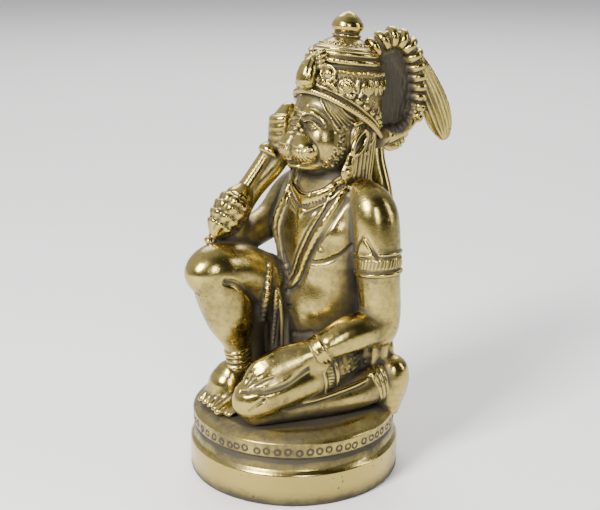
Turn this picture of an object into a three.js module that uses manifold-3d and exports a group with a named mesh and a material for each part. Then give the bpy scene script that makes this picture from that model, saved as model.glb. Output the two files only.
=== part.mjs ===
// A small cast brass figure of a kneeling, monkey-faced deity with a crown, a mace and a raised tail.
// The figure and its round moulded plinth are one casting. It faces -Y, and its left side is +X.

import * as THREE from 'three';
import { mergeVertices } from 'three/addons/utils/BufferGeometryUtils.js';
import Module from 'manifold-3d';

const wasm = await Module();
wasm.setup();

// Driving dimensions, in millimetres

const FIGURE_HEIGHT = 96;

const PLINTH_RADIUS = 26.8;
const PLINTH_HEIGHT = 18;
const PLINTH_SIDES = 44;
const DRUM_HEIGHT = 8.2;
const SHOULDER_HEIGHT = 3.2;
const SHOULDER_STEP = 1.5;
const GROOVE_HEIGHT = 0.7;
const GROOVE_DEPTH = 0.8;
const BAND_INSET = 0.9;
const BAND_HEIGHT = 3.9;
const BAND_EDGE = 0.4;
const TOP_INSET = 4.2;

// Solids and how they are joined

function solid(geometry) {
  const bare = geometry.clone();
  bare.deleteAttribute('normal');
  bare.deleteAttribute('uv');
  const merged = mergeVertices(bare, 1e-4);
  const corners = merged.index.array;
  const kept = [];
  for (let i = 0; i < corners.length; i += 3) {
    const [a, b, c] = [corners[i], corners[i + 1], corners[i + 2]];
    if (a !== b && b !== c && c !== a) kept.push(a, b, c);
  }
  const triVerts = new Uint32Array(kept);
  const vertProperties = new Float32Array(merged.attributes.position.array);
  return new wasm.Manifold(new wasm.Mesh({ numProp: 3, vertProperties, triVerts }));
}

function join(geometries) {
  return geometries.map(solid).reduce((whole, piece) => whole.add(piece));
}

function meshGeometry(manifold) {
  const { vertProperties, triVerts } = manifold.getMesh();
  const geometry = new THREE.BufferGeometry();
  geometry.setAttribute('position', new THREE.BufferAttribute(vertProperties, 3));
  geometry.setIndex(new THREE.BufferAttribute(triVerts, 1));
  geometry.computeVertexNormals();
  return geometry;
}

// Forms of the figure. Their numbers are hundredths of the figure's height, from the middle of
// the plinth's top, so that the pose, the proportions and the carving follow FIGURE_HEIGHT.

const UP = new THREE.Vector3(0, 0, 1);
const LEFT = new THREE.Vector3(1, 0, 0);

// A form is a row of rings [x, y, z, half width, half depth], joined by a smooth path.
// Its half width lies along the direction `wide`, square to the path.
function form(rings, wide = LEFT) {
  const points = rings.map(([x, y, z]) => new THREE.Vector3(x, y, z));
  const halves = rings.map(([, , , width, depth = width]) => new THREE.Vector3(width, depth, 0));
  const path = new THREE.CatmullRomCurve3(points, false, 'catmullrom', 0.5);
  const section = new THREE.CatmullRomCurve3(halves, false, 'catmullrom', 0.5);
  return { path, section, wide, spans: rings.length - 1 };
}

// The place, directions and half sizes of a form's section, at t from 0 to 1
function sectionAt({ path, section, wide }, t) {
  const along = path.getTangent(t);
  const across = wide.clone().addScaledVector(along, -wide.dot(along)).normalize();
  const other = new THREE.Vector3().crossVectors(across, along);
  const half = section.getPoint(t);
  return { centre: path.getPoint(t), along, across, other, width: half.x, depth: half.y };
}

// The point of a form's surface at t, turned by an angle from the wide direction, standing proud
function surfacePoint(shape, t, angle, proud = 0) {
  const { centre, across, other, width, depth } = sectionAt(shape, t);
  return centre
    .addScaledVector(across, Math.cos(angle) * (width + proud))
    .addScaledVector(other, Math.sin(angle) * (depth + proud));
}

// The solid of a form: a closed cylinder bent along its path. A band [t, proud, half height in t]
// is a ridge all round it. A flute draws every second edge in, by a share of the half sizes.
function body(shape, sides = 10, { bands = [], flute = 0 } = {}) {
  const stations = bands.flatMap(([t, proud, half]) => [[t - half, 0], [t, proud], [t + half, 0]]);
  for (let i = 0; i <= shape.spans; i++) {
    const t = i / shape.spans;
    if (bands.every(([middle, , half]) => Math.abs(t - middle) > half)) stations.push([t, 0]);
  }
  stations.sort((a, b) => a[0] - b[0]);
  const geometry = new THREE.CylinderGeometry(1, 1, 1, sides, stations.length - 1);
  const places = geometry.attributes.position;
  for (let i = 0; i < places.count; i++) {
    const [t, proud] = stations[Math.round((places.getY(i) + 0.5) * (stations.length - 1))];
    const angle = Math.atan2(places.getX(i), places.getZ(i));
    const edge = Math.round((angle * sides) / (2 * Math.PI));
    const draw = edge % 2 === 0 ? 1 : 1 - flute;
    const { centre, across, other, width, depth } = sectionAt(shape, t);
    centre.addScaledVector(across, places.getX(i) * (width * draw + proud));
    centre.addScaledVector(other, places.getZ(i) * (depth * draw + proud));
    places.setXYZ(i, centre.x, centre.y, centre.z);
  }
  return geometry;
}

// A solid turned about the Z axis from an outline [radius, height, swell]. A swell lets every
// second edge stand out, so that its row becomes a row of bosses.
function turned(outline, sides) {
  const points = outline.map(([radius, height]) => new THREE.Vector2(radius, height));
  const geometry = new THREE.LatheGeometry(points, sides).rotateX(Math.PI / 2);
  const places = geometry.attributes.position;
  for (let i = 0; i < places.count; i++) {
    const [radius, , swell = 0] = outline[i % outline.length];
    const edge = Math.floor(i / outline.length);
    const reach = radius > 0 && edge % 2 === 0 ? 1 + swell / radius : 1;
    places.setXYZ(i, places.getX(i) * reach, places.getY(i) * reach, places.getZ(i));
  }
  return geometry;
}

function ball([x, y, z], [a, b, c], around = 10, down = 7) {
  return new THREE.SphereGeometry(1, around, down).rotateX(Math.PI / 2).scale(a, b, c).translate(x, y, z);
}

// A strand through some points, of round section or wider along `wide`
function strand(points, radius, sides = 5, depth = radius, wide = new THREE.Vector3(0.31, 0.52, 0.79)) {
  return body(form(points.map((p) => [...p, radius, depth]), wide.clone().normalize()), sides);
}

// Body and limbs

const torso = form([
  [0, 12.8, 2, 15, 13],
  [0, 12, 12, 13.6, 11.8],
  [0, 10.6, 21, 12.2, 10.5],
  [0, 10.4, 33, 12.4, 10.3],
  [0, 10.6, 44, 14.8, 10.8],
  [0, 11.2, 50, 15.6, 9.8],
  [0, 12.4, 55.2, 12.8, 7.4],
  [0, 12.6, 59, 7, 6],
  [0, 12, 64, 5.8, 5.8],
]);

const leftThigh = form([
  [7.4, 9, 11, 8.4],
  [10, 1.3, 11, 7.6],
  [10.2, -6.7, 10.2, 7.2],
  [8.8, -14.2, 8.4, 6.6],
  [7, -19.2, 6.8, 5.6],
  [6, -22.4, 5.8, 2.8, 3.2],
]);
const leftShin = form([
  [7.2, -18.8, 3.6, 4.2],
  [10.9, -9.8, 3.8, 4.6],
  [14.6, -1, 3.9, 4.6],
  [17.6, 6.7, 4.6, 4.3, 4.6],
  [19.2, 12, 6, 3.9, 5],
  [20.4, 16, 6.6, 3.4, 5],
]);
const leftFoot = form([
  [19.2, 15.8, -2.2, 3.6, 3.8],
  [19.8, 16.2, 2.5, 4.2, 4.2],
  [20.3, 16.6, 7.6, 4.2, 4.3],
  [20.7, 17, 11.4, 3.2, 3.4],
  [20.9, 17.2, 13, 1.2, 1.4],
], new THREE.Vector3(0.91, -0.42, 0));

const rightThigh = form([
  [-7.4, 8.5, 17, 9],
  [-9, 0.6, 27, 8.2],
  [-10, -7.4, 32.8, 7.8],
  [-10.6, -13.8, 35.6, 7.4],
  [-11, -19.2, 36, 6.2],
  [-11.2, -23, 35.4, 2.8, 3],
]);
const rightShin = form([
  [-10.6, -17, 36, 6.8],
  [-9.7, -15.8, 30, 7.2],
  [-8.4, -14.8, 23.6, 6.2],
  [-7.4, -13.8, 17.6, 3.8],
  [-6.9, -13.2, 12, 2.8, 3],
  [-6.8, -12.6, 4, 3.4, 3.6],
]);
const rightFoot = form([
  [-6.4, -9.4, 2.6, 2.8],
  [-8.4, -14, 5.8, 5.4, 6.6],
  [-9, -18, 4, 5.4, 5],
  [-8, -21.2, 1.8, 5.6, 2.2],
]);

const leftArm = form([
  [12.3, 12.8, 55, 4.6],
  [15.8, 13, 51.8, 6],
  [17.3, 12.8, 46, 6.2],
  [18.8, 12.4, 35, 5.6],
  [19.5, 12.6, 26, 5.3],
  [19.8, 12, 21.4, 4.7],
  [19.7, 11.6, 18.4, 2.2],
]);
const leftForearm = form([
  [19.8, 11.4, 22.4, 4.6],
  [18, 4, 21.6, 4.9],
  [16.4, -1.4, 19.8, 4.2],
  [14.6, -5, 17.8, 3.5],
  [12.8, -8, 16.6, 3.4],
]);
const HAND_SLOPE = new THREE.Vector3(0.5, -0.1, -0.86).normalize();
const leftHand = form([
  [13.8, -6, 17.4, 3.6, 3.2],
  [12.2, -9.4, 16, 4.8, 3.4],
  [10.4, -13, 14.6, 5.2, 3.2],
  [9.2, -16.4, 13.2, 4.8, 2.8],
  [8.4, -18.6, 12, 3.4, 2],
], HAND_SLOPE);

const rightArm = form([
  [-11, 13.2, 54.4, 4.8],
  [-14.8, 12.2, 50.2, 5.6],
  [-15.4, 6.1, 45, 4.7],
  [-15.3, -0.4, 42.6, 4.4],
  [-14.8, -6.5, 41.8, 4.2],
  [-14.5, -9.8, 42.4, 2.4],
]);
const rightForearm = form([
  [-14.6, -9, 42.6, 4.2],
  [-14.4, -7.2, 49, 3.7],
  [-13.2, -3.2, 55, 3.4],
  [-11.2, 3, 61, 3.2],
  [-10.6, 6, 65.5, 3],
]);
const rightHand = form([
  [-10.7, 5.4, 63.4, 3, 2.8],
  [-10.7, 5.8, 66.6, 3.7, 3.6],
  [-10.5, 6.4, 70.6, 3.7, 3.6],
  [-10.2, 7.3, 74.2, 2.8, 2.6],
  [-10, 7.9, 75.8, 0.9, 0.9],
]);

// How far along an upright form's path, from 0 to 1, the height z comes
function shareAtHeight(shape, z) {
  let low = 0;
  let high = 1;
  for (let i = 0; i < 24; i++) {
    const middle = (low + high) / 2;
    if (shape.path.getPoint(middle).z < z) low = middle;
    else high = middle;
  }
  return low;
}

// A point on the torso's surface, turned by degrees from the front towards the left side
function onTorso(turn, z, proud = 0) {
  return surfacePoint(torso, shareAtHeight(torso, z), THREE.MathUtils.degToRad(90 - turn), proud);
}

// Armlet, bracelets and anklets are bands of the limbs, and so are the hems of the loincloth
function bodyParts() {
  return [
    body(torso, 12, { bands: [[shareAtHeight(torso, 17.4), 0.9, 0.03]] }),
    body(leftThigh, 9, { bands: [[0.25, 0.5, 0.035]] }),
    body(leftShin, 8, { bands: [[0.74, 0.4, 0.025], [0.84, 0.4, 0.025]] }),
    body(leftFoot, 7),
    body(rightThigh, 10, { bands: [[0.24, 0.55, 0.04]] }),
    body(rightShin, 8, { bands: [[0.72, 0.45, 0.035], [0.83, 0.45, 0.035]] }),
    body(rightFoot, 7),
    body(leftArm, 9, { bands: [[0.41, 0.5, 0.03], [0.47, 0.5, 0.03]] }),
    body(leftForearm, 8, { bands: [[0.66, 0.5, 0.035], [0.78, 0.5, 0.035]] }),
    body(leftHand, 7),
    body(rightArm, 8),
    body(rightForearm, 7),
    body(rightHand, 8),
    ball([0, 5.4, 25.6], [9.2, 6.6, 8.6], 8, 6),
    ball([-9.4, -10.5, 31], [3.6, 5, 4], 5, 4),
    ball([13, -5, 15], [5, 5, 4], 5, 4),
  ];
}

function fingersAndToes() {
  const parts = [];
  const FINGERS = 4;
  for (let i = 0; i < FINGERS; i++) {
    const slide = (i - (FINGERS - 1) / 2) * 2.2;
    const knuckle = new THREE.Vector3(9.8, -14.6, 13.8).addScaledVector(HAND_SLOPE, slide);
    const middle = new THREE.Vector3(8.2, -18.4, 12).addScaledVector(HAND_SLOPE, slide * 0.9);
    const tip = new THREE.Vector3(7.2, -21.2, 9.6 + 0.25 * i).addScaledVector(HAND_SLOPE, slide * 0.7);
    parts.push(body(form([
      [...knuckle, 1.2, 2.6],
      [...middle, 1.4, 2],
      [...tip, 0.7, 0.7],
    ], HAND_SLOPE), 6));
  }
  const TOES = 5;
  for (let i = 0; i < TOES; i++) {
    const x = -2.4 - 2.35 * i;
    const big = i === 0 ? 1.3 : 1;
    parts.push(body(form([
      [x, -19.2 + 0.1 * i, 1.6, 1.1 * big, 1.2 * big],
      [x - 0.1, -21.6 + 0.2 * i, 1.3, 1.2 * big, 1.25 * big],
      [x - 0.2, -23.4 + 0.35 * i, 0.9, 0.6 * big, 0.6 * big],
    ]), 5));
  }
  return parts;
}

// The mace, held head down along the right forearm

const MACE_TIP = new THREE.Vector3(-13.8, -17.2, 42.2);
const MACE_TOP = new THREE.Vector3(-11, 5, 68);

function mace() {
  const length = MACE_TOP.distanceTo(MACE_TIP);
  const profile = [
    [0, 0], [1.9, 0.2], [1.9, 1.6], [1.3, 2.4],
    [3.8, 5.8], [3.3, 6.6], [4.7, 8.6], [4.1, 9.6], [5, 11.6], [4.3, 12.4], [4.7, 14.4],
    [2.3, 18], [2, length - 6], [3, length - 5.6], [3, length - 4.4], [0, length],
  ];
  const geometry = new THREE.LatheGeometry(profile.map(([r, s]) => new THREE.Vector2(r, s)), 7);
  const direction = MACE_TOP.clone().sub(MACE_TIP).normalize();
  geometry.applyQuaternion(new THREE.Quaternion().setFromUnitVectors(new THREE.Vector3(0, 1, 0), direction));
  return [geometry.translate(...MACE_TIP)];
}

// Head and crown, in a frame of their own: its origin is the middle of the head, and it leans back

const HEAD_PLACE = new THREE.Vector3(0, 12.5, 71);
const HEAD_LEAN = THREE.MathUtils.degToRad(-8);

function face() {
  const parts = [
    ball([0, 0.2, 0.4], [9.2, 9.6, 10.4], 10, 7),
    ball([0, -6.4, -8], [5.4, 4.6, 2.6], 6, 4),
    ball([0, -9.4, -0.2], [1.5, 2.2, 1.8], 5, 4),
    ball([0, 5.2, -2], [8.8, 7.4, 10.4], 8, 6),
  ];
  for (const side of [-1, 1]) {
    parts.push(
      ball([side * 1.9, -9.8, -5.6], [3.6, 3.9, 4.2], 8, 5),
      ball([side * 5.4, -4.4, -4.6], [4, 4, 4.8], 7, 5),
      ball([side * 4, -7.9, 1.6], [2.2, 1.3, 1], 5, 4),
      strand([[side * 0.5, -9.2, 3], [side * 3.6, -8.6, 4], [side * 7.2, -5.8, 2.8]], 1, 3),
      ...earAndHair(side),
    );
  }
  return parts;
}

function earAndHair(side) {
  const ear = new THREE.TorusGeometry(2.1, 0.75, 3, 7).scale(1, 1.75, 1).rotateY(Math.PI / 2)
    .rotateX(Math.PI / 2 - 0.3).translate(side * 9.1, 1.4, -0.8);
  const fall = form([
    [side * 7.6, 6.4, 6, 3.6, 2], [side * 8, 5.6, -4, 3.8, 1.9], [side * 7.4, 4.9, -13, 3.4, 1.6],
  ], new THREE.Vector3(0, 1, 0));
  const swept = form([
    [side * 2.4, -7.8, 6.6, 2.2, 1.2], [side * 7, -5.2, 4.8, 3.4, 1.6], [side * 9.2, -0.6, 1.6, 1.8, 0.9],
  ], new THREE.Vector3(0, 0.5, 0.86));
  return [
    ear,
    ball([side * 8.9, -0.9, -9.3], [1.9, 1.9, 2.2], 5, 4),
    strand([[side * 9.2, 0.8, -3.6], [side * 9, -0.6, -8]], 0.8, 3),
    body(fall, 10, { flute: 0.22 }),
    body(swept, 8, { flute: 0.3 }),
  ];
}

const CROWN_BACK = 2.6;
const CROWN_RADIUS = 11.4;
const CROWN_BOSSES = 9;
const RIM_HEIGHT = 7.6;
const RIM_SLOPE = 0.16;
const RIM_REACH = 7;

// The crown's lower part slopes down towards the nape, least at its top
function sloped(geometry) {
  const places = geometry.attributes.position;
  for (let i = 0; i < places.count; i++) {
    const share = THREE.MathUtils.clamp((RIM_HEIGHT + RIM_REACH - places.getZ(i)) / RIM_REACH, 0, 1);
    places.setZ(i, places.getZ(i) - RIM_SLOPE * share * (places.getY(i) - CROWN_BACK));
  }
  return geometry;
}

// The roped rim, a row of round bosses, two roped bands and the finial, with three leaves in front
function crown() {
  const dome = [
    [0, 5], [10.4, 5], [11.6, 6.2, 0.7], [11.6, 8.2, 0.7], [CROWN_RADIUS - 0.8, 9.2],
    [CROWN_RADIUS - 0.2, 11.2, 1.7], [CROWN_RADIUS - 0.8, 13.4], [9.8, 16],
    [10, 17.2, 0.4], [8.9, 18.4], [9.1, 19.4, 0.4], [6.4, 21.2], [3, 24], [0, 24],
  ];
  const finial = [[0, 22], [3, 23], [4.1, 24.6], [4, 26], [2.8, 27.9], [0, 30]];
  const parts = [
    turned(dome, 2 * CROWN_BOSSES).translate(0, CROWN_BACK, 0),
    turned(finial, 8).translate(0, CROWN_BACK - 0.4, 0),
  ];
  const around = (turn, out, z) => [
    Math.sin(turn) * (CROWN_RADIUS + out), CROWN_BACK - Math.cos(turn) * (CROWN_RADIUS + out), z,
  ];
  for (const lean of [-0.42, 0, 0.42]) {
    const tall = lean === 0 ? 1.5 : 0;
    parts.push(body(form([
      [...around(lean * 0.7, 0, 8.4), 1.2, 1],
      [...around(lean, 0.6, 11), 2.4, 1.4],
      [...around(lean * 1.2, -1.2, 15.4 + tall), 0.6, 0.8],
    ], new THREE.Vector3(Math.cos(lean), Math.sin(lean), 0)), 5));
  }
  return parts.map(sloped);
}

function headParts() {
  const place = new THREE.Matrix4().makeRotationX(HEAD_LEAN).setPosition(HEAD_PLACE);
  return [...face(), ...crown()].map((part) => part.applyMatrix4(place));
}

// The tail: a smooth strip up the back, a ringed loop behind the crown and a long tuft

const tailStrip = form([
  [2, 23, 2, 3.2, 3],
  [7, 24, 16, 2.8],
  [10.6, 23, 30, 2.5],
  [12, 22.2, 44, 2.4],
  [11.4, 21.4, 54, 2.8],
  [9.6, 20, 65, 3.2],
]);

const TAIL_RINGS = 13;

// The loop swells into rings along its path
function loopRings() {
  const path = new THREE.CatmullRomCurve3([
    [9.4, 20.6, 67.6], [9.2, 26, 68.6], [9.2, 31.4, 70.4], [9, 34.4, 73.4], [9, 35.6, 77.8],
    [9, 35.6, 82.6], [8.8, 34.2, 87.6], [8, 31.4, 92], [6.6, 27.2, 93.4], [5, 23, 91],
  ].map((place) => new THREE.Vector3(...place)), false, 'catmullrom', 0.5);
  const rings = [];
  for (let i = 0; i <= 2 * TAIL_RINGS; i++) {
    const { x, y, z } = path.getPointAt(i / (2 * TAIL_RINGS));
    rings.push([x, y, z, i % 2 === 0 ? 1.8 : 2.6]);
  }
  return rings;
}

function tail() {
  return [
    body(tailStrip, 7),
    body(form(loopRings()), 5),
    body(form([
      [8, 23.6, 66, 4, 1.8],
      [8.4, 27.4, 70.6, 6.4, 1.6],
      [8.4, 28.6, 79, 6.2, 1.6],
      [7.4, 27, 91.6, 3.6, 1.4],
    ], new THREE.Vector3(0.2, 0.98, 0)), 4),
    body(form([
      [8.6, 33, 90.2, 1.6, 1.2],
      [9.6, 36, 83.8, 2.8, 1.5],
      [10.8, 39.8, 76, 3.7, 1.8],
      [11.6, 42.8, 69.2, 3.3, 1.6],
      [12.1, 44.8, 64, 0.5, 0.5],
    ], new THREE.Vector3(0.6, 0.8, 0.25)), 7),
  ];
}

// Collar with its fringe and pendant, and the double cord that crosses the chest

function collarAndCord() {
  const COLLAR_STEPS = 20;
  const loop = [];
  for (let i = 0; i <= COLLAR_STEPS; i++) {
    const turn = -112 + (224 * i) / COLLAR_STEPS;
    const drop = 3.6 * (1 - Math.cos(THREE.MathUtils.degToRad(turn)));
    const point = 2.4 * Math.max(0, 1 - Math.abs(turn) / 26);
    loop.push([...onTorso(turn, 53.4 + drop - point / 2, 0.1), 2 + point / 2, i % 2 === 0 ? 0.5 : 0.9]);
  }
  const cord = [
    [-112, 57.4], [-66, 55], [-40, 46.4], [-25, 38.4], [-12, 32.4], [0, 30.2],
    [12, 32.4], [25, 38.4], [40, 46.4], [66, 55], [112, 57.4],
  ];
  return [
    body(form(loop, UP), 4),
    body(form(cord.map(([turn, z]) => [...onTorso(turn, z, 0.1), 1.5, 1]), UP), 5),
    ball(onTorso(0, 35, 0.2).toArray(), [1.1, 1.1, 1.3], 5, 4),
  ];
}

// The loincloth: waistband, pleats over the hips, and the sash end that lies over the plinth

function cloth() {
  const skirt = form([
    [-6.5, -1.5, 29, 6, 5],
    [-6, -2, 20, 6.4, 5.4],
    [-5, -1.5, 10, 6.8, 5.6],
    [-4, -1, -1, 7.2, 6],
  ]);
  const sash = form([
    [0.4, -8, 9.4, 3.2, 1.1],
    [-0.4, -14, 4.4, 3, 1],
    [-1, -22.4, 0.6, 2.4, 0.8],
  ]);
  const rearFolds = form([
    [15.6, 15, 19.4, 4, 3], [16.8, 14.4, 14, 5.2, 3.8], [16.4, 13.4, 7, 4.6, 3.4],
  ], new THREE.Vector3(0.3, 0.95, 0));
  return [
    body(skirt, 14, { flute: 0.14 }),
    body(sash, 6),
    body(rearFolds, 8, { flute: 0.2 }),
  ];
}

// The plinth, in millimetres: a drum, a sloping shoulder, a groove, and a band under the flat top

function plinth() {
  const bandLow = DRUM_HEIGHT + SHOULDER_HEIGHT + GROOVE_HEIGHT;
  const bandRadius = PLINTH_RADIUS - BAND_INSET;
  return turned([
    [0, 0], [PLINTH_RADIUS, 0], [PLINTH_RADIUS, DRUM_HEIGHT],
    [PLINTH_RADIUS - SHOULDER_STEP, DRUM_HEIGHT + SHOULDER_HEIGHT],
    [bandRadius - GROOVE_DEPTH, bandLow], [bandRadius, bandLow + BAND_EDGE],
    [bandRadius, bandLow + BAND_HEIGHT], [PLINTH_RADIUS - TOP_INSET, PLINTH_HEIGHT], [0, PLINTH_HEIGHT],
  ], PLINTH_SIDES);
}

function figure() {
  const parts = [
    ...bodyParts(), ...fingersAndToes(), ...mace(), ...headParts(), ...tail(),
    ...collarAndCord(), ...cloth(),
  ];
  const share = FIGURE_HEIGHT / 100;
  return parts.map((part) => part.scale(share, share, share).translate(0, 0, PLINTH_HEIGHT));
}

// The finished part

const brass = new THREE.MeshStandardMaterial({ color: 0xb49556, roughness: 0.32, metalness: 1 });
const casting = new THREE.Mesh(meshGeometry(join([plinth(), ...figure()])), brass);
casting.name = 'figure_with_plinth';

const group = new THREE.Group();
group.add(casting);
export default group;
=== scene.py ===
# A small household brass: a kneeling, monkey-faced deity with a crown, a mace and a raised tail,
# cast in one piece with its round moulded plinth, then filed, chased and polished by hand.

import math
import bpy
import numpy as np
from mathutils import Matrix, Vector


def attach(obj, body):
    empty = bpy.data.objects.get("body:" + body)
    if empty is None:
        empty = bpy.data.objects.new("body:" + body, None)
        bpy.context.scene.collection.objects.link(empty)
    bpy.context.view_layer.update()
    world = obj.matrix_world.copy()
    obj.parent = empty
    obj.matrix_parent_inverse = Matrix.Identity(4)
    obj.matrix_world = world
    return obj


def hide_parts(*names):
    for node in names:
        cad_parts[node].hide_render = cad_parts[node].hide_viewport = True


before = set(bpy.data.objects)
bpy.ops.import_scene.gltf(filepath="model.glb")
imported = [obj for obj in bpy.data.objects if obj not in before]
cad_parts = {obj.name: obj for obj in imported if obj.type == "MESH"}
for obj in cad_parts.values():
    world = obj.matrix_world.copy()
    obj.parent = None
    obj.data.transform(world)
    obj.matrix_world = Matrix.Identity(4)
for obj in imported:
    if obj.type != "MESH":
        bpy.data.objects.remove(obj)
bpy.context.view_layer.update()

# Studio. The brass stands on a pale table under a large soft window light from the upper left,
# with a weaker fill from the right and dark walls behind the camera for the metal to mirror.

VIEW_TURN = math.radians(48)
VIEW_TILT = math.radians(17.3)
VIEW_BACK = 0.28649
VIEW_HEIGHT = 0.14476
VIEW_SIDE = 0.00164
LENS_MM = 72.3

AIM_HEIGHT = 0.055
TABLE_REACH = 2.0


def placed(name, data):
    """A new object in the scene."""
    thing = bpy.data.objects.new(name, data)
    bpy.context.scene.collection.objects.link(thing)
    return thing


camera = placed("camera", bpy.data.cameras.new("camera"))
camera.data.lens = LENS_MM
camera.data.sensor_width = 36
camera.data.clip_start = 0.01
camera.rotation_euler = (math.pi / 2 - VIEW_TILT, 0, VIEW_TURN)
view_along = Vector((-math.sin(VIEW_TURN), math.cos(VIEW_TURN), 0))
view_right = Vector((math.cos(VIEW_TURN), math.sin(VIEW_TURN), 0))
camera.location = view_right * VIEW_SIDE - view_along * VIEW_BACK + Vector((0, 0, VIEW_HEIGHT))
bpy.context.scene.camera = camera


def soft_light(name, right, toward, up, wide, tall, power, warmth):
    """A soft light so far right of the figure, toward the camera and up, aimed at its middle."""
    lamp = bpy.data.lights.new(name, "AREA")
    lamp.shape = "RECTANGLE"
    lamp.size = wide
    lamp.size_y = tall
    lamp.energy = power
    lamp.color = warmth
    holder = placed(name, lamp)
    holder.location = view_right * right - view_along * toward + Vector((0, 0, up))
    aim = Vector((0, 0, AIM_HEIGHT)) - holder.location
    holder.rotation_euler = aim.to_track_quat("-Z", "Y").to_euler()


soft_light("window", -0.34, 0.38, 0.44, 0.19, 0.24, 9.5, (1.0, 0.985, 0.95))
soft_light("fill", 0.60, 0.05, 0.30, 0.10, 0.40, 1.2, (1.0, 0.99, 0.96))
soft_light("front", 0.12, 0.62, 0.34, 0.07, 0.26, 1.8, (1.0, 0.99, 0.96))
soft_light("back", 0.0, -0.70, 0.75, 0.90, 0.50, 9.0, (1.0, 0.98, 0.95))

world = bpy.data.worlds.new("studio")
bpy.context.scene.world = world
world.use_nodes = True
sky, sky_links = world.node_tree.nodes, world.node_tree.links
direction = sky.new("ShaderNodeTexCoord").outputs["Generated"]
toward = sky.new("ShaderNodeVectorMath")
toward.operation = "DOT_PRODUCT"
toward.inputs[1].default_value = -view_along * 0.85 + view_right * 0.45 + Vector((0, 0, -0.35))
walls = sky.new("ShaderNodeMapRange")
walls.interpolation_type = "SMOOTHSTEP"
walls.inputs["From Min"].default_value = -0.75
walls.inputs["From Max"].default_value = 0.25
walls.inputs["To Min"].default_value = 0.85
walls.inputs["To Max"].default_value = 0.02
sky_links.new(direction, toward.inputs[0])
sky_links.new(toward.outputs["Value"], walls.inputs["Value"])
sky_links.new(walls.outputs["Result"], sky["Background"].inputs["Strength"])
sky["Background"].inputs["Color"].default_value = (0.95, 0.97, 1.0, 1)

corners = [(x * TABLE_REACH, y * TABLE_REACH, 0) for x, y in ((-1, -1), (1, -1), (1, 1), (-1, 1))]
table_top = bpy.data.meshes.new("table")
table_top.from_pydata(corners, [], [(0, 1, 2, 3)])
table = placed("table", table_top)
table_paint = bpy.data.materials.new("table_paint")
table_paint.use_nodes = True
table_shader = table_paint.node_tree.nodes["Principled BSDF"]
table_shader.inputs["Base Color"].default_value = (0.88, 0.88, 0.88, 1)
table_shader.inputs["Roughness"].default_value = 0.7
table_top.materials.append(table_paint)

# Plinth. Cast with the figure and turned true on a lathe: a drum, a sloping shoulder, a groove and
# a band under the top. The band carries a row of small rings struck by hand with a hollow punch.

MM = 0.001
PLINTH_RADIUS = 26.8
PLINTH_HEIGHT = 18
DRUM_HEIGHT = 8.2
SHOULDER_TOP = 11.4
GROOVE_TOP = 12.1
BAND_TOP = 16.0
BAND_RADIUS = 25.9
TOP_RADIUS = 22.6
EDGE_ROUNDING = 0.35
ROW_SPACING = 0.42
PUNCH_ROW = 14.0
PUNCH_PITCH = 2.62
PUNCH_RADIUS = 0.72
PUNCH_DEPTH = 0.26
PUNCH_EDGE = 0.2
AROUND = 900


def unit(vector):
    vector = np.asarray(vector, float)
    return vector / max(np.linalg.norm(vector), 1e-9)


def polished_outline(corners):
    """The outline [radius, height] with its corners rounded over, as turning and polishing leave
    them, and with points no further apart than the spacing."""
    corners = np.array(corners, float)
    rounded = [corners[0]]
    t = np.linspace(0, 1, 5)[:, None]
    for before, corner, after in zip(corners, corners[1:], corners[2:]):
        back, on = before - corner, after - corner
        cut = min(EDGE_ROUNDING, np.linalg.norm(back) * 0.45, np.linalg.norm(on) * 0.45)
        start, end = corner + unit(back) * cut, corner + unit(on) * cut
        rounded += list(start * (1 - t) ** 2 + corner * 2 * t * (1 - t) + end * t * t)
    rounded.append(corners[-1])
    rows = [rounded[0]]
    for a, b in zip(rounded, rounded[1:]):
        parts = max(1, int(np.ceil(np.linalg.norm(b - a) / ROW_SPACING)))
        rows += [a + (b - a) * i / parts for i in range(1, parts + 1)]
    return np.array(rows)


def as_mesh(name, points, faces):
    """A mesh object from arrays of points in metres and of faces that all have as many corners."""
    mesh = bpy.data.meshes.new(name)
    mesh.vertices.add(len(points))
    mesh.loops.add(faces.size)
    mesh.polygons.add(len(faces))
    mesh.vertices.foreach_set("co", np.asarray(points, np.float32).ravel())
    mesh.loops.foreach_set("vertex_index", faces.ravel().astype(np.int32))
    mesh.polygons.foreach_set("loop_start", np.arange(0, faces.size, faces.shape[1], dtype=np.int32))
    mesh.update(calc_edges=True)
    mesh.validate()
    return placed(name, mesh)


chance = np.random.default_rng(7)
punches = []
angle = 0.0
while angle < 2 * math.pi - 0.09:
    punches.append((angle, PUNCH_ROW + chance.normal(0, 0.22)))
    angle += (PUNCH_PITCH + chance.normal(0, 0.3)) / BAND_RADIUS


def punched(turn, height):
    """How deep the row of punched rings goes into the band, at arrays of turn and height."""
    depth = np.zeros(np.shape(turn))
    for middle, row in punches:
        sideways = (np.mod(turn - middle + math.pi, 2 * math.pi) - math.pi) * BAND_RADIUS
        out = np.hypot(sideways, height - row)
        depth += PUNCH_DEPTH * np.exp(-((out - PUNCH_RADIUS) / PUNCH_EDGE) ** 2) * (out < 2)
    return depth


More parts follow.
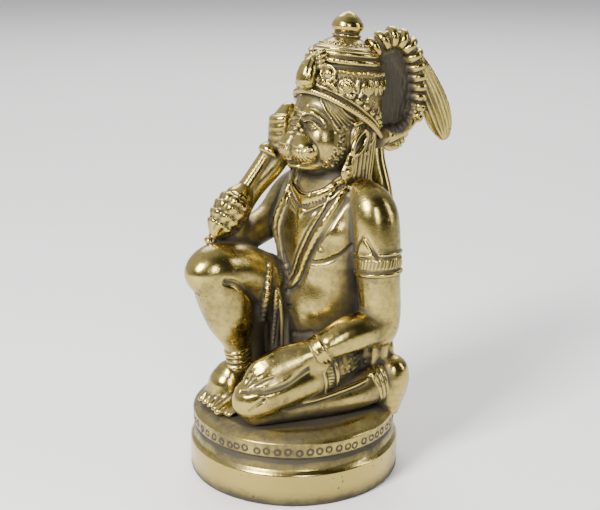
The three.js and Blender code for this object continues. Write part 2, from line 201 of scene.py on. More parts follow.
outline = polished_outline([
    (0, 0), (PLINTH_RADIUS - 0.4, 0), (PLINTH_RADIUS, 0.5), (PLINTH_RADIUS, DRUM_HEIGHT),
    (PLINTH_RADIUS - 1.0, DRUM_HEIGHT + 1.0), (BAND_RADIUS - 0.7, SHOULDER_TOP),
    (BAND_RADIUS - 0.9, GROOVE_TOP), (BAND_RADIUS, GROOVE_TOP + 0.5), (BAND_RADIUS, BAND_TOP),
    (BAND_RADIUS - 1.0, BAND_TOP + 0.8), (TOP_RADIUS, PLINTH_HEIGHT), (0, PLINTH_HEIGHT)])
keep = [0]
for i in range(1, len(outline) - 1):
    flat = outline[i][1] in (0, PLINTH_HEIGHT) and outline[i][0] < 20
    if np.linalg.norm(outline[i] - outline[keep[-1]]) > (4.0 if flat else 0.1):
        keep.append(i)
outline = outline[keep[1:]]
turn, row = np.meshgrid(np.arange(AROUND) * 2 * math.pi / AROUND, np.arange(len(outline)), indexing="ij")
radius, height = outline[row, 0], outline[row, 1]
on_band = (height > GROOVE_TOP) & (height < BAND_TOP + 0.5) & (radius > BAND_RADIUS - 1)
radius = radius - np.where(on_band, punched(turn, height), 0)
wear = 0.05 - 0.03 * np.sin(3 * turn + 1) - 0.02 * np.sin(7 * turn + height)
radius = np.where(radius > 2, radius - wear, radius)
wall = np.stack([radius * np.cos(turn), radius * np.sin(turn), height], -1).reshape(-1, 3)
points = np.vstack([wall, [[0, 0, 0], [0, 0, PLINTH_HEIGHT]]]) * MM
index = np.arange(len(wall)).reshape(AROUND, len(outline))
beside = np.roll(index, -1, 0)
bottom, top = np.full(AROUND, len(wall)), np.full(AROUND, len(wall) + 1)
faces = np.vstack([
    np.stack([index[:, :-1], beside[:, :-1], beside[:, 1:]], -1).reshape(-1, 3),
    np.stack([index[:, :-1], beside[:, 1:], index[:, 1:]], -1).reshape(-1, 3),
    np.stack([beside[:, 0], index[:, 0], bottom], -1), np.stack([index[:, -1], beside[:, -1], top], -1)])
plinth = as_mesh("plinth", points, faces)

POLISHED = (0.44, 0.345, 0.105, 1)
DULL = (0.11, 0.091, 0.043, 1)
# The darkest colour: old patina in chased lines and pits, and painted shade in sheltered places.
PATINA_AND_SHADE_COLOUR = (0.055, 0.046, 0.030, 1)
DENT_DEPTH = 0.00012


def cast_brass_finish():
    """Cast brass, hand-polished where fingers and files reach, with dark old patina in its chased lines
    and pits, and with painted shade darkening its broad hollows and sheltered places. It reads how
    hollow (fine) and how sheltered (broad) each place is from the mesh."""
    brass = bpy.data.materials.new("cast_brass")
    brass.use_nodes = True
    nodes, links = brass.node_tree.nodes, brass.node_tree.links
    shader = nodes["Principled BSDF"]

    def feed(socket, value):
        if hasattr(value, "is_output"):
            links.new(value, socket)
        else:
            socket.default_value = value

    def add(kind, settings=(), out=0, **sockets):
        """The output of a node with its settings, whose sockets take values or other outputs."""
        made = nodes.new(kind)
        for name, value in dict(settings).items():
            setattr(made, name, value)
        for name, value in sockets.items():
            feed(made.inputs[int(name[1:]) if name[1:].isdigit() else name.replace("_", " ")], value)
        return made.outputs[out]

    def measured(name):
        return add("ShaderNodeAttribute", {"attribute_name": name}, "Fac")

    def noise(scale, detail, roughness, where):
        return add("ShaderNodeTexNoise", out="Fac", Vector=where, Scale=scale, Detail=detail,
                   Roughness=roughness)

    def ramp(value, low, high, to_low=0.0, to_high=1.0):
        return add("ShaderNodeMapRange", {"interpolation_type": "SMOOTHSTEP"}, Value=value,
                   From_Min=low, From_Max=high, To_Min=to_low, To_Max=to_high)

    def sums(kind, a, b, clamp=True):
        return add("ShaderNodeMath", {"operation": kind, "use_clamp": clamp}, i0=a, i1=b)

    def times(a, b):
        return sums("MULTIPLY", a, b, False)

    def blend(share, a, b):
        return add("ShaderNodeMix", {"data_type": "RGBA"}, 2, i0=share, i6=a, i7=b)

    place = add("ShaderNodeTexCoord", out="Object")
    cloud = noise(95.0, 5.0, 0.6, place)
    grain = noise(650.0, 4.0, 0.65, place)
    speck = noise(2600.0, 3.0, 0.6, place)
    stretched = add("ShaderNodeMapping", Vector=place, Scale=(900.0, 900.0, 5200.0),
                    Rotation=(0.5, 0.35, 0.2))
    filing = noise(1.0, 3.0, 0.6, stretched)
    pits = ramp(add("ShaderNodeTexVoronoi", out="Distance", Vector=place, Scale=520.0), 0.17, 0.10)
    pits = times(pits, ramp(cloud, 0.5, 0.62))

    hollow = measured("hollow")
    # Painted shade: broad hollows and sheltered places darken towards the darkest colour, on top of the
    # patina in chased lines, the tarnish patches and the pits.
    patina_and_shade = sums("ADD", ramp(hollow, 0.505, 0.59), ramp(measured("shade_and_tarnish"), 0.46, 0.72))
    patina_and_shade = sums("ADD", patina_and_shade, times(ramp(cloud, 0.40, 0.70, 0.0, 0.45), ramp(hollow, 0.46, 0.52)))
    patina_and_shade = sums("ADD", patina_and_shade, times(pits, 0.75))
    dull = sums("ADD", ramp(cloud, 0.3, 0.7, 0.15, 0.75), ramp(grain, 0.35, 0.7, -0.15, 0.25))
    dull = sums("SUBTRACT", dull, ramp(hollow, 0.485, 0.40))

    links.new(blend(patina_and_shade, blend(dull, POLISHED, DULL), PATINA_AND_SHADE_COLOUR), shader.inputs["Base Color"])
    links.new(sums("SUBTRACT", 1.0, times(patina_and_shade, 0.5)), shader.inputs["Metallic"])
    gloss = sums("ADD", ramp(dull, 0.0, 1.0, 0.20, 0.36), times(patina_and_shade, 0.35))
    links.new(gloss, shader.inputs["Roughness"])
    height = sums("ADD", times(grain, 0.5), times(filing, 0.35), False)
    height = sums("ADD", height, times(speck, 0.25), False)
    height = sums("SUBTRACT", height, times(pits, 1.2), False)
    dents = add("ShaderNodeBump", out="Normal", Strength=0.35, Distance=DENT_DEPTH, Height=height)
    links.new(dents, shader.inputs["Normal"])
    return brass


brass = cast_brass_finish()
plinth.data.materials.append(brass)
plinth.data.shade_smooth()
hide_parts("figure_with_plinth")
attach(plinth, "root")

# Body. The founder models it in beeswax over a core, limb by limb. The wax is held here as a block
# of small cells: each holds how far it lies from the wax's surface, below zero inside, so pieces
# press, melt and cut into one another. Lengths are hundredths of the figure's height (SHARE), from
# the middle of the plinth's top; the figure faces -Y and its left side is +X.

SHARE = 0.00096
AHEAD = np.array([0, -1.0, 0])
LEFT = np.array([1.0, 0, 0])
UP = np.array([0, 0, 1.0])


def along(points, share):
    """A row of the smooth curve through some rows of numbers, at a share from 0 to 1."""
    rows = np.asarray(points, float)
    rows = np.vstack([2 * rows[0] - rows[1], rows, 2 * rows[-1] - rows[-2]])
    spot = np.clip(share, 0, 1) * (len(points) - 1)
    i = min(int(spot), len(points) - 2)
    t = spot - i
    a, b, c, d = rows[i:i + 4]
    return 0.5 * (2 * b + (c - a) * t + (2 * a - 5 * b + 4 * c - d) * t * t
                  + (3 * b - a - 3 * c + d) * t ** 3)


def curve(points, spacing):
    """Rows of the smooth curve through some points, about one spacing apart."""
    length = sum(np.linalg.norm(np.subtract(b[:3], a[:3])) for a, b in zip(points, points[1:]))
    count = max(2 * (len(points) - 1), int(length / spacing))
    return np.array([along(points, i / count) for i in range(count + 1)])


def full_rings(rings):
    """Rings [x, y, z, half width, half depth], where a round one may leave out its depth."""
    return [list(r) + [r[3]] * (5 - len(r)) for r in rings]


def blurred(block, spread):
    """A block of cells, each averaged with those within a spread of some cells."""
    reach = int(math.ceil(spread * 2.5))
    weights = np.exp(-0.5 * (np.arange(-reach, reach + 1) / spread) ** 2)
    weights = (weights / weights.sum()).astype(np.float32)
    for axis in range(3):
        padded = np.pad(block, [(reach, reach) if i == axis else (0, 0) for i in range(3)], mode="edge")
        made = np.zeros_like(block)
        for i, weight in enumerate(weights):
            made += weight * np.take(padded, range(i, i + block.shape[axis]), axis)
        block = made
    return block


def offsets(cells, place):
    """How far the cells lie from a place, axis by axis."""
    return [c - np.float32(p) for c, p in zip(cells, place)]


def reach_along(offset, way):
    """How far the offsets reach along a way."""
    x, y, z = (np.float32(w) for w in way)
    return offset[0] * x + offset[1] * y + offset[2] * z


def ways_across(a, b, wide):
    """The length and way from one ring to the next, and two ways across it, the first nearly wide."""
    length = max(np.linalg.norm(b[:3] - a[:3]), 1e-6)
    way = (b[:3] - a[:3]) / length
    across = unit(np.asarray(wide, float) - np.dot(wide, way) * way)
    return length, way, across, np.cross(across, way)


def off_egg(parts, sizes):
    """How far cells lie off an egg with these half sizes, and how many times its size from its middle."""
    outs = [p / s for p, s in zip(parts, sizes)]
    times = np.sqrt(sum(q * q for q in outs)) + np.float32(1e-6)
    slope = np.sqrt(sum((q / s) ** 2 for q, s in zip(outs, sizes))) + np.float32(1e-6)
    return times * (times - 1) / slope, times


class Wax:
    """A block of modelling wax, from a low to a high corner, in cells of one size. Its own frame may
    stand in another place on the figure and lean back about the left side."""

    def __init__(self, low, high, cell, place=(0, 0, 0), lean=0.0):
        self.low = np.array(low, float)
        self.cell = cell
        self.count = np.ceil((np.array(high) - self.low) / self.cell).astype(int) + 1
        self.field = np.full(self.count, 4.0, np.float32)
        self.place = place
        self.turn = np.array([[1, 0, 0], [0, math.cos(lean), -math.sin(lean)],
                              [0, math.sin(lean), math.cos(lean)]])

    def own(self, places):
        """Places on the figure, in the block's own frame."""
        return (places - self.place) @ self.turn

    def around(self, low, high, reach=1.6):
        """The cells around a box, and where they lie along each axis."""
        first = np.floor((np.asarray(low) - reach - self.low) / self.cell).astype(int)
        first = np.clip(first, 0, self.count - 2)
        last = np.ceil((np.asarray(high) + reach - self.low) / self.cell).astype(int) + 1
        last = np.clip(last, first + 1, self.count)
        x, y, z = (np.float32(low) + np.float32(self.cell) * np.arange(a, b, dtype=np.float32)
                   for low, a, b in zip(self.low, first, last))
        spans = tuple(slice(a, b) for a, b in zip(first, last))
        return spans, (x[:, None, None], y[None, :, None], z[None, None, :])

    def among(self, spans, cells, low, high, reach):
        """Those of some cells that are around a smaller box, and where they lie along each axis."""
        inner, _ = self.around(low, high, reach)
        part = tuple(slice(max(i.start - s.start, 0), i.stop - s.start) for i, s in zip(inner, spans))
        return part, (cells[0][part[0]], cells[1][:, part[1]], cells[2][:, :, part[2]])

    def put(self, spans, shape, melt, cut=False):
        """Add a piece of wax, or cut one away. The larger the melt, the softer its joint."""
        here = self.field[spans]
        melt = max(melt, 0.05) if cut else melt
        if melt == 0:
            np.minimum(here, shape, out=here)
            return
        near = np.maximum(melt - np.abs(here + shape if cut else here - shape), 0) / np.float32(melt)
        near = near * near * np.float32(melt / 4)
        self.field[spans] = np.maximum(here, -shape) + near if cut else np.minimum(here, shape) - near

    def roll(self, rings, wide=LEFT, melt=0.8, flutes=0, flute=0.0, lay=None, spacing=1.4):
        """A roll of wax through rings, wide along one direction. Flutes are grooves along it; a lay
        (depth, pitch, strands) twists them like a rope's."""
        rows = curve(full_rings(rings), spacing)
        widest = rows[:, 3:].max()
        reach = max(melt, 0.3) + 0.5
        spans, cells = self.around(rows[:, :3].min(0) - widest, rows[:, :3].max(0) + widest, reach)
        shape = np.full(self.field[spans].shape, 4.0, np.float32)
        run = 0.0
        f = np.float32
        for a, b in zip(rows, rows[1:]):
            size = max(a[3], a[4], b[3], b[4])
            low, high = np.minimum(a[:3], b[:3]) - size, np.maximum(a[:3], b[:3]) + size
            part, places = self.among(spans, cells, low, high, reach)
            length, way, across, other = ways_across(a, b, wide)
            offset = offsets(places, a)
            ahead, u, v = (reach_along(offset, w) for w in (way, across, other))
            share = np.clip(ahead / f(length), 0, 1)
            beyond = ahead - share * f(length)
            width, depth = (f(a[i]) + share * f(b[i] - a[i]) for i in (3, 4))
            near, times = off_egg((u, v, beyond), (width, depth, np.minimum(width, depth)))
            bearing = np.arctan2(v / depth, u / width) if flutes or lay else 0
            if flutes:
                fade = np.clip(times * 2 - 1, 0, 1)
                near = near + f(flute) * fade * (f(0.5) - f(0.5) * np.cos(f(flutes) * bearing))
            if lay:
                twist = (run + share * f(length)) * f(2 * math.pi / lay[1])
                near = near - f(lay[0]) * np.cos(f(lay[2]) * bearing + twist)
            np.minimum(shape[part], near, out=shape[part])
            run += length
        self.put(spans, shape, melt)

    def ball(self, place, sizes, melt=0.8, axes=None, cut=False):
        """An egg of wax with three half sizes, along the rows of axes if they are given."""
        sizes = sizes if np.ndim(sizes) else (sizes,) * 3
        place, widest = np.asarray(place), max(sizes)
        spans, cells = self.around(place - widest, place + widest, max(melt, 0.3) + 0.5)
        parts = offsets(cells, place)
        if axes is not None:
            parts = [reach_along(parts, axis) for axis in axes]
        self.put(spans, off_egg(parts, [np.float32(s) for s in sizes])[0], melt, cut)

    def turned(self, outline, foot=(0, 0, 0), up=UP, melt=0.0, swell=None):
        """A piece turned about an axis, from a closed outline of [radius, height] rows. The swell
        changes the radius with the height and the angle about the axis, for lobes."""
        rows = np.array(outline, float)
        foot, up = np.asarray(foot, float), unit(up)
        fine = self.cell / 2
        r = np.arange(0, rows[:, 0].max() + 3, fine)
        h = np.arange(rows[:, 1].min() - 3, rows[:, 1].max() + 3, fine)
        rr, hh = np.meshgrid(r, h, indexing="ij")
        gap = np.full(rr.shape, 1e9)
        inside = np.zeros(rr.shape, bool)
        for (r0, h0), (r1, h1) in zip(rows, np.roll(rows, -1, 0)):
            along_r, along_h = r1 - r0, h1 - h0
            if max(r0, r1) > 1e-6:
                t = ((rr - r0) * along_r + (hh - h0) * along_h) / (along_r ** 2 + along_h ** 2)
                t = np.clip(t, 0, 1)
                gap = np.minimum(gap, (rr - r0 - t * along_r) ** 2 + (hh - h0 - t * along_h) ** 2)
            if h0 != h1:
                crosses = (hh >= min(h0, h1)) & (hh < max(h0, h1))
                inside ^= crosses & (rr < r0 + (hh - h0) / along_h * along_r)
        table = np.where(inside, -np.sqrt(gap), np.sqrt(gap)).astype(np.float32)
        ends = np.array([foot + up * h0 for h0 in (rows[:, 1].min(), rows[:, 1].max())])
        sideways = rows[:, 0].max() * np.sqrt(np.clip(1 - up ** 2, 0.02, 1))
        spans, cells = self.around(ends.min(0) - sideways, ends.max(0) + sideways)
        offset = offsets(cells, foot)
        height = reach_along(offset, up)
        radius = np.sqrt(np.maximum(sum(d * d for d in offset) - height * height, 0))
        if swell is not None:
            side = unit(np.cross(AHEAD, up))
            bearing = np.arctan2(reach_along(offset, side), reach_along(offset, np.cross(up, side)))
            radius = swell(radius, height, bearing)
        i = np.clip(radius / fine, 0, len(r) - 1.001)
        j = np.clip((height - h[0]) / fine, 0, len(h) - 1.001)
        i0, j0 = i.astype(np.int32), j.astype(np.int32)
        ti, tj = (i - i0).astype(np.float32), (j - j0).astype(np.float32)
        shape = ((table[i0, j0] * (1 - ti) + table[i0 + 1, j0] * ti) * (1 - tj)
                 + (table[i0, j0 + 1] * (1 - ti) + table[i0 + 1, j0 + 1] * ti) * tj)
        self.put(spans, shape.astype(np.float32), melt)

    def belt(self, rings, share, half, proud, melt=0.1, notches=0, notch=0.0, slant=0.0):
        """A flat band round a limb, at a share of its rings. Notches are cut across it."""
        rings = full_rings(rings)
        a, b = along(rings, share - 0.03), along(rings, share + 0.03)
        length, way, across, other = ways_across(a, b, LEFT)
        middle = (a + b) / 2
        size = max(middle[3:]) + proud + half
        spans, cells = self.around(middle[:3] - size, middle[:3] + size, 0.8)
        f = np.float32
        offset = offsets(cells, middle)
        run, u, v = (reach_along(offset, w) for w in (way, across, other))
        width, depth = (f(middle[i]) + run * f((b[i] - a[i]) / length) for i in (3, 4))
        near = off_egg((u, v), (width, depth))[0] - f(proud)
        if notches:
            bearing = np.arctan2(v / depth, u / width)
            near = near + f(notch) * (f(0.5) + f(0.5) * np.cos(f(notches) * bearing + f(slant) * run))
        self.put(spans, np.maximum(near, np.abs(run) - f(half)), melt)

    def score(self, points, width, depth, spacing=0.7):
        """Draw a chased line, rounded in section."""
        rows = curve([list(p) for p in points], spacing) if len(points) > 2 else np.array(points, float)
        reach = 2.2 * width
        spans, cells = self.around(rows.min(0), rows.max(0), reach)
        gap = np.full(self.field[spans].shape, 25.0, np.float32)
        f = np.float32
        for a, b in zip(rows, rows[1:]):
            part, places = self.among(spans, cells, np.minimum(a, b), np.maximum(a, b), reach)
            offset = offsets(places, a)
            way = b - a
            t = np.clip(reach_along(offset, way) / f(max(way @ way, 1e-9)), 0, 1)
            here = sum((d - t * f(w)) ** 2 for d, w in zip(offset, way))
            np.minimum(gap[part], here, out=gap[part])
        self.field[spans] += f(depth) * np.exp(-gap / f(width * width))

    def soften(self, spread):
        """Smooth the whole block with a warm, wet thumb, over a spread of so many shares."""
        self.field = blurred(self.field, spread / self.cell)

    def depth(self, places, block=None):
        """How far some places lie from the wax's surface, or what another block's cells hold there."""
        block = self.field if block is None else block
        spot = np.clip((np.atleast_2d(places) - self.low) / self.cell, 0, self.count - 1.001)
        base = spot.astype(np.int64)
        t = spot - base
        value = np.zeros(len(spot))
        for i, j, k in np.ndindex(2, 2, 2):
            weight = np.abs(1 - i - t[:, 0]) * np.abs(1 - j - t[:, 1]) * np.abs(1 - k - t[:, 2])
            value += weight * block[base[:, 0] + i, base[:, 1] + j, base[:, 2] + k]
        return value

    def facing(self, places, step):
        """Which way the wax's surface faces at some places."""
        steps = np.eye(3) * step
        tilt = np.stack([self.depth(places + d) - self.depth(places - d) for d in steps], -1)
        return tilt / np.maximum(np.linalg.norm(tilt, axis=1, keepdims=True), 1e-9)

    def touch(self, place, way, out=0.0):
        """Where a fingertip that moves from a place along a way meets the wax, lifted off by out."""
        place, way = np.asarray(place, float), unit(way)
        for _ in range(600):
            gap = self.depth(place)[0]
            if gap < 0.02:
                break
            place = place + way * max(0.6 * min(gap, 2.0), 0.03)
        return place - way * out


BODY_BLOCK = ((-23.5, -28.5, -3.5), (26.5, 27, 78.5), 0.26)
body = Wax(*BODY_BLOCK)
body.roll([[0, 12.8, 2, 15, 13], [0, 12, 12, 13.6, 11.8], [0, 10.6, 21, 12.2, 10.5],
           [0, 10.4, 33, 12.4, 10.3], [0, 10.6, 44, 14.8, 10.6], [0, 11.2, 50, 15.4, 9.4],
           [0, 12.4, 55.2, 12.6, 7.4], [0, 12.6, 59, 7, 6], [0, 12, 64, 5.8, 5.8]], spacing=2.4)
body.ball((0, 5.4, 25.6), (9.2, 6.6, 8.6), 3)
for side in (-1, 1):
    body.ball((side * 6.2, 6, 45.4), (7, 4.4, 5.8), 2)
trunk = Wax(*BODY_BLOCK)
trunk.field = body.field.copy()

# Legs. Solid wax, melted on at the hips. The left one kneels on the plinth with its foot upright
# behind it; the right knee is raised and its foot stands flat, with five toes.

LEFT_THIGH = [[7.4, 9, 11, 8.4], [10, 1.3, 11, 7.6], [10.2, -6.7, 10.2, 7.2], [8.8, -14.2, 8.4, 6.6],
              [7, -19.2, 6.8, 5.6], [6, -22.4, 5.8, 2.8, 3.2]]
LEFT_SHIN = [[7.2, -18.8, 3.6, 4.2], [10.9, -9.8, 3.8, 4.6], [14.6, -1, 3.9, 4.6],
             [17.6, 6.7, 4.6, 4.3, 4.6], [19.2, 12, 6, 3.9, 5], [20.4, 16, 6.6, 3.4, 5]]
RIGHT_THIGH = [[-7.4, 8.5, 17, 9], [-9, 0.6, 27, 8.2], [-10, -7.4, 32.8, 7.8], [-10.6, -13.8, 35.6, 7.4],
               [-11, -19.2, 36, 6.2], [-11.2, -23, 35.4, 2.8, 3]]
RIGHT_SHIN = [[-10.6, -17, 36, 6.8], [-9.7, -15.8, 30, 7.2], [-8.4, -14.8, 23.6, 6.2],
              [-7.4, -13.8, 17.6, 3.8], [-6.9, -13.2, 12, 2.8, 3], [-6.8, -12.6, 4, 3.4, 3.6]]
TOE_SPREAD = 2.35
body.roll(LEFT_THIGH)
body.roll(LEFT_SHIN, melt=0.25)
body.roll([[18.8, 15.4, -2.2, 3.6, 4.0], [19.6, 15.8, 2.2, 4.4, 4.6], [20.2, 16.2, 6.2, 4.8, 5],
           [20.4, 16.6, 8.6, 4.3, 4.4]], wide=(0.91, -0.42, 0), melt=0.4)
body.roll(RIGHT_THIGH)
body.roll(RIGHT_SHIN, melt=1.0)
body.roll([[-6.4, -9.4, 2.6, 2.8], [-8.2, -14, 5.4, 5, 6], [-8.4, -17, 3.4, 5.4, 4.2],
           [-7.6, -19.2, 1.6, 5.6, 2.2]])
for i in range(5):
    toe = -2.4 - TOE_SPREAD * i
    big = 1.3 if i == 0 else 1
    body.roll([[toe, -17.6 + 0.1 * i, 3.0, 1.1 * big, 1.3 * big],
               [toe - 0.1, -21.4 + 0.2 * i, 1.7, 1.15 * big, 1.35 * big],
               [toe - 0.2, -23.8 + 0.4 * i, 1.1, 0.9 * big]], melt=0.15)

# Loincloth. Pleated cloth round the hips: pleats hang between the legs, folds lie behind the left
# thigh, and the end of the sash falls forward over the plinth.

body.roll([[-8.6, 0.6, 26, 4, 4], [-8.6, -1.6, 16, 4.2, 4.6], [-8, -2.4, 6, 4.2, 5],
           [-7.6, -2.6, -1, 4.4, 5]], melt=1, flutes=12, flute=0.9)
body.roll([[-6.2, -5.2, 27, 2.2, 2.6], [-6.4, -8.4, 20, 2.2, 3], [-6.2, -9, 12, 2.4, 3.4],
           [-6.2, -9.6, -1, 3, 4]], melt=1)
body.roll([[-6.3, 1.0, 29, 6, 4.6], [-5.8, 0.4, 20, 6.4, 5], [-5, 0.4, 10, 6.8, 5.2],
           [-4, 0.2, -1, 7.2, 5.6]], flutes=14, flute=1.4, melt=0.2)
body.roll([[-3.2, -3.4, 35.2, 0.6], [0.4, -4.6, 25, 0.7], [1.2, -5, 15, 0.7]], melt=0.2)
body.roll([[0.4, -8, 9.4, 3.2, 1.1], [-0.4, -14, 4.4, 3, 1], [-1, -22.4, 0.6, 2.4, 0.8]], melt=0.2,
          flutes=6, flute=0.7)
body.roll([[15.6, 15, 19.4, 4, 3], [16.8, 14.4, 14, 5.2, 3.8], [16.4, 13.4, 7, 4.6, 3.4]],
          wide=(0.3, 0.95, 0), flutes=9, flute=1.3, melt=0.2)

# Arms and hands. The left arm leans on the thigh with the hand at the knee; the right one is
# raised and its fist holds the mace by the end of the shaft.

LEFT_ARM = [[12.3, 12.8, 55, 4.6], [15.8, 13, 51.8, 6], [17.3, 12.8, 46, 6.2], [18.8, 12.4, 35, 5.6],
            [19.5, 12.6, 26, 5.3], [19.8, 12, 21.4, 4.7], [19.7, 11.6, 18.4, 2.2]]
LEFT_FOREARM = [[19.8, 11.4, 22.4, 4.6], [18, 4, 21.6, 4.9], [16.4, -1.4, 19.8, 4.2],
                [14.6, -5, 17.8, 3.5], [12.8, -8, 16.6, 3.4]]
HAND_SLOPE = unit((0.5, -0.1, -0.86))
FINGER_SPREAD = 2.2
KNUCKLE_DROP = 2.2
THUMB_SPREAD = 0.42
body.roll(LEFT_ARM, melt=0.9)
body.ball((13, -5, 15), (5, 5, 4), 0.6)
body.roll(LEFT_FOREARM, melt=0.6)
body.roll([[13.8, -6, 17.4, 3.6, 3.2], [12.2, -9.4, 16, 4.8, 3.4], [10.4, -13, 14.6, 5.2, 3.4],
           [9.2, -16.4, 13.4, 4.8, 3.1], [8.4, -18.6, 12.2, 3.6, 2.4]], wide=HAND_SLOPE, melt=0.6)
for i in range(4):
    slide = HAND_SLOPE * (i - 1.5) * FINGER_SPREAD
    body.roll([[*(slide + [9.6, -15.2, 14.2]), 1.2, 2.6], [*(slide * 0.9 + [8.0, -18.8, 12.4]), 1.35, 2.2],
               [*(slide * 0.7 + [6.8, -21.4, 10.0 + 0.25 * i]), 0.8]], wide=HAND_SLOPE, melt=0.15)
body.ball((-9.4, -10.5, 31), (3.6, 5, 4), 0.6)
body.roll([[-11, 13.2, 54.4, 4.8], [-14.8, 12.2, 50.2, 5.6], [-15.4, 6.1, 45, 4.7],
           [-15.3, -0.4, 42.6, 4.4], [-14.8, -6.5, 41.8, 4.2], [-14.5, -9.8, 42.4, 2.4]], melt=0.9)
body.roll([[-14.6, -9, 42.6, 4.2], [-14.4, -7.2, 49, 3.7], [-13.2, -3.2, 55, 3.4],
           [-11.2, 3, 61, 3.2], [-10.6, 6, 65.5, 3]])
body.roll([[-10.7, 5.4, 63.4, 3, 2.8], [-10.7, 5.8, 66.6, 3.7, 3.6], [-10.5, 6.4, 70.6, 3.7, 3.6],
           [-10.2, 7.3, 74.2, 2.8, 2.6], [-10, 7.9, 75.8, 0.9]])
for i in range(4):
    drop = KNUCKLE_DROP * i
    body.roll([[-7.6, 4.0 - 0.25 * i, 73.4 - drop, 0.9], [-9.6, 3.0 - 0.2 * i, 73 - drop, 1.05],
               [-12, 3.4, 72.6 - drop, 1.05], [-13.8, 5.2, 72.6 - drop, 0.9]], melt=1.3)
body.soften(THUMB_SPREAD)

# Creases. Cut into the smoothed wax: behind the raised knee, between thigh and shin, under the
# left hand and between its fingers, between the toes, and round the knee cap.

body.score([(-3.9, -19.4, 35.1), (-3.1, -16.7, 34.2), (-3, -13.6, 31.6), (-3.9, -10.6, 28.5),
            (-4.7, -8.2, 25.8)], 0.6, 1.05)
body.score([(12, -20.5, 8.4), (13.4, -16, 5.2), (15.2, -11.3, 5), (17, -6.2, 6), (18.6, -0.7, 7.1),
            (19.9, 4, 8)], 0.5, 0.7)
body.score([(7.2, -23.4, 9.6), (8.9, -22.8, 9.9), (10.6, -21.6, 10.6), (12.2, -20.1, 10.5),
            (14.6, -15.2, 11.7), (16.2, -9.6, 14.6)], 0.55, 1.0)
for gap in (((9.6, -17.2, 16), (8.6, -19.3, 14.8), (7.4, -21, 13), (6.9, -22.2, 11.2)),
            ((10.8, -17.6, 14.8), (9.6, -19.6, 13.6), (8.2, -21.4, 12), (7.6, -22.6, 10.4)),
            ((12, -17.6, 13.4), (10.9, -19.4, 12.6), (9.6, -21, 11.6), (8.8, -22.4, 10.4))):
    body.score(gap, 0.26, 0.5)
for i in range(4):
    toe = -3.6 - TOE_SPREAD * i
    body.score([(toe, -17.4, 4.6 - 0.3 * i), (toe, -20.4, 3.2), (toe, -23.4 + 0.3 * i, 1.8)], 0.3, 0.5)
body.score([(10.2, -24, 5.6), (11.6, -22.4, 7.4), (12.4, -20.8, 8.8)], 0.4, 0.3)

# Chest. The bare trunk, kept from before the limbs went on, says where the skin of the chest lies.
# Nipples, the crease under the breasts, the belly's crease and the navel are cut first.


def outward(turn):
    """The level way out from the figure's middle, turned by degrees from the front to its left."""
    turn = math.radians(turn)
    return np.array([math.sin(turn), -math.cos(turn), 0])


def on_chest(turn, height, out=0.0):
    """A place on the bare chest."""
    return trunk.touch(outward(turn) * 18 + [0, 11, height], -outward(turn), out)


def laid(path, out=0.0):
    """Places on the bare chest along a path of [turn, height] rows."""
    return [on_chest(turn, height, out) for turn, height in path]


def oval(middle, across, up, end=6.3, count=18):
    """Places round an oval, or part of the way round, from its middle and its two half axes."""
    middle, across, up = (np.asarray(v, float) for v in (middle, across, up))
    return [middle + across * math.cos(a) + up * math.sin(a) for a in np.linspace(0, end, count)]


NIPPLE_TURN = 41.8
for side in (-1, 1):
    nipple = (side * NIPPLE_TURN, 42)
    body.score(laid(oval(nipple, (4.2, 0), (0, 0.8), count=14)), 0.22, 0.34, spacing=0.3)
    body.ball(on_chest(*nipple), 0.45, 0.15)
    body.score([on_chest(side * turn, height) for turn, height in
                ((20, 38.6), (30, 38.2), (42, 38.5), (54, 39.4), (66, 41.2), (76, 43.6))], 0.5, 0.75)
body.score([on_chest(turn, 17.8 + 0.0016 * turn * turn) for turn in range(-60, 31, 10)], 0.5, 0.5)
body.ball(on_chest(0, 25.2), (0.9, 1.2, 0.8), 0.3, cut=True)

# Back. The upper edge of the loincloth is a plain roll of wax laid round the hips, lower behind,
# with a line scored under it and shallow folds.

waist = [on_chest(turn, 22 - 6 * math.cos(math.radians(turn))) for turn in range(70, 295, 8)]
body.roll([[*p, 0.9, 0.55] for p in waist], wide=UP, melt=0.2)
body.score([p - [0, 0, 1.2] for p in waist], 0.35, 0.45)
for turn in range(112, 256, 16):
    top = 19.5 - 6 * math.cos(math.radians(turn))
    body.score(laid([(turn, top), (turn + 4, 16), (turn + 6, 8)]), 0.5, 0.6)

# Cord. Two thin strands of twisted wax lie side by side from the shoulders to the waist, with a
# bead inside. Chased lines part them and set them off from the skin.

CORD = [[-88, 58.4], [-52, 57], [-41, 54.5], [-40, 50], [-42, 44], [-38, 39.2], [-28, 34.8],
        [-15, 31.8], [-5, 30.8], [4, 31.8], [12, 34.8], [19, 38.3], [30, 42.9], [42, 47.7],
        [56, 52.3], [72, 56.6], [92, 58.4]]
DEGREE_LENGTH = 0.18
cord_path = np.array([along(CORD, i / 90) for i in range(91)])


def shifted(path, shift):
    """A path moved sideways over the chest, where a degree of turn is so many shares long."""
    run = np.gradient(path, axis=0) * [DEGREE_LENGTH, 1]
    run /= np.linalg.norm(run, axis=1)[:, None]
    return path + np.stack([-run[:, 1] / DEGREE_LENGTH, run[:, 0]], 1) * shift


for shift, wide, depth in ((0, 0.9, 0.62), (1.85, 0.55, 0.5)):
    body.roll([[*p, wide, depth] for p in laid(shifted(cord_path, shift), 0.2)], wide=UP, melt=0.08,
              lay=(0.035, 1.8, 2), spacing=0.9)
for shift, first, last, width, depth in ((1.15, 0, 91, 0.24, 0.45), (-1.3, 40, 84, 0.45, 0.6),
                                         (-1.2, 8, 44, 0.35, 0.45), (2.7, 8, 84, 0.3, 0.42)):
    body.score(laid(shifted(cord_path[first:last], shift)), width, depth)
body.ball(on_chest(-14, 35.3, 0.3), (0.95, 0.8, 1.1), 0.1)

# Collar. A flat band of wax round the neck with upright bars chased between two raised edges, and
# a small pointed pendant in front. Rows are [turn, height, half width].

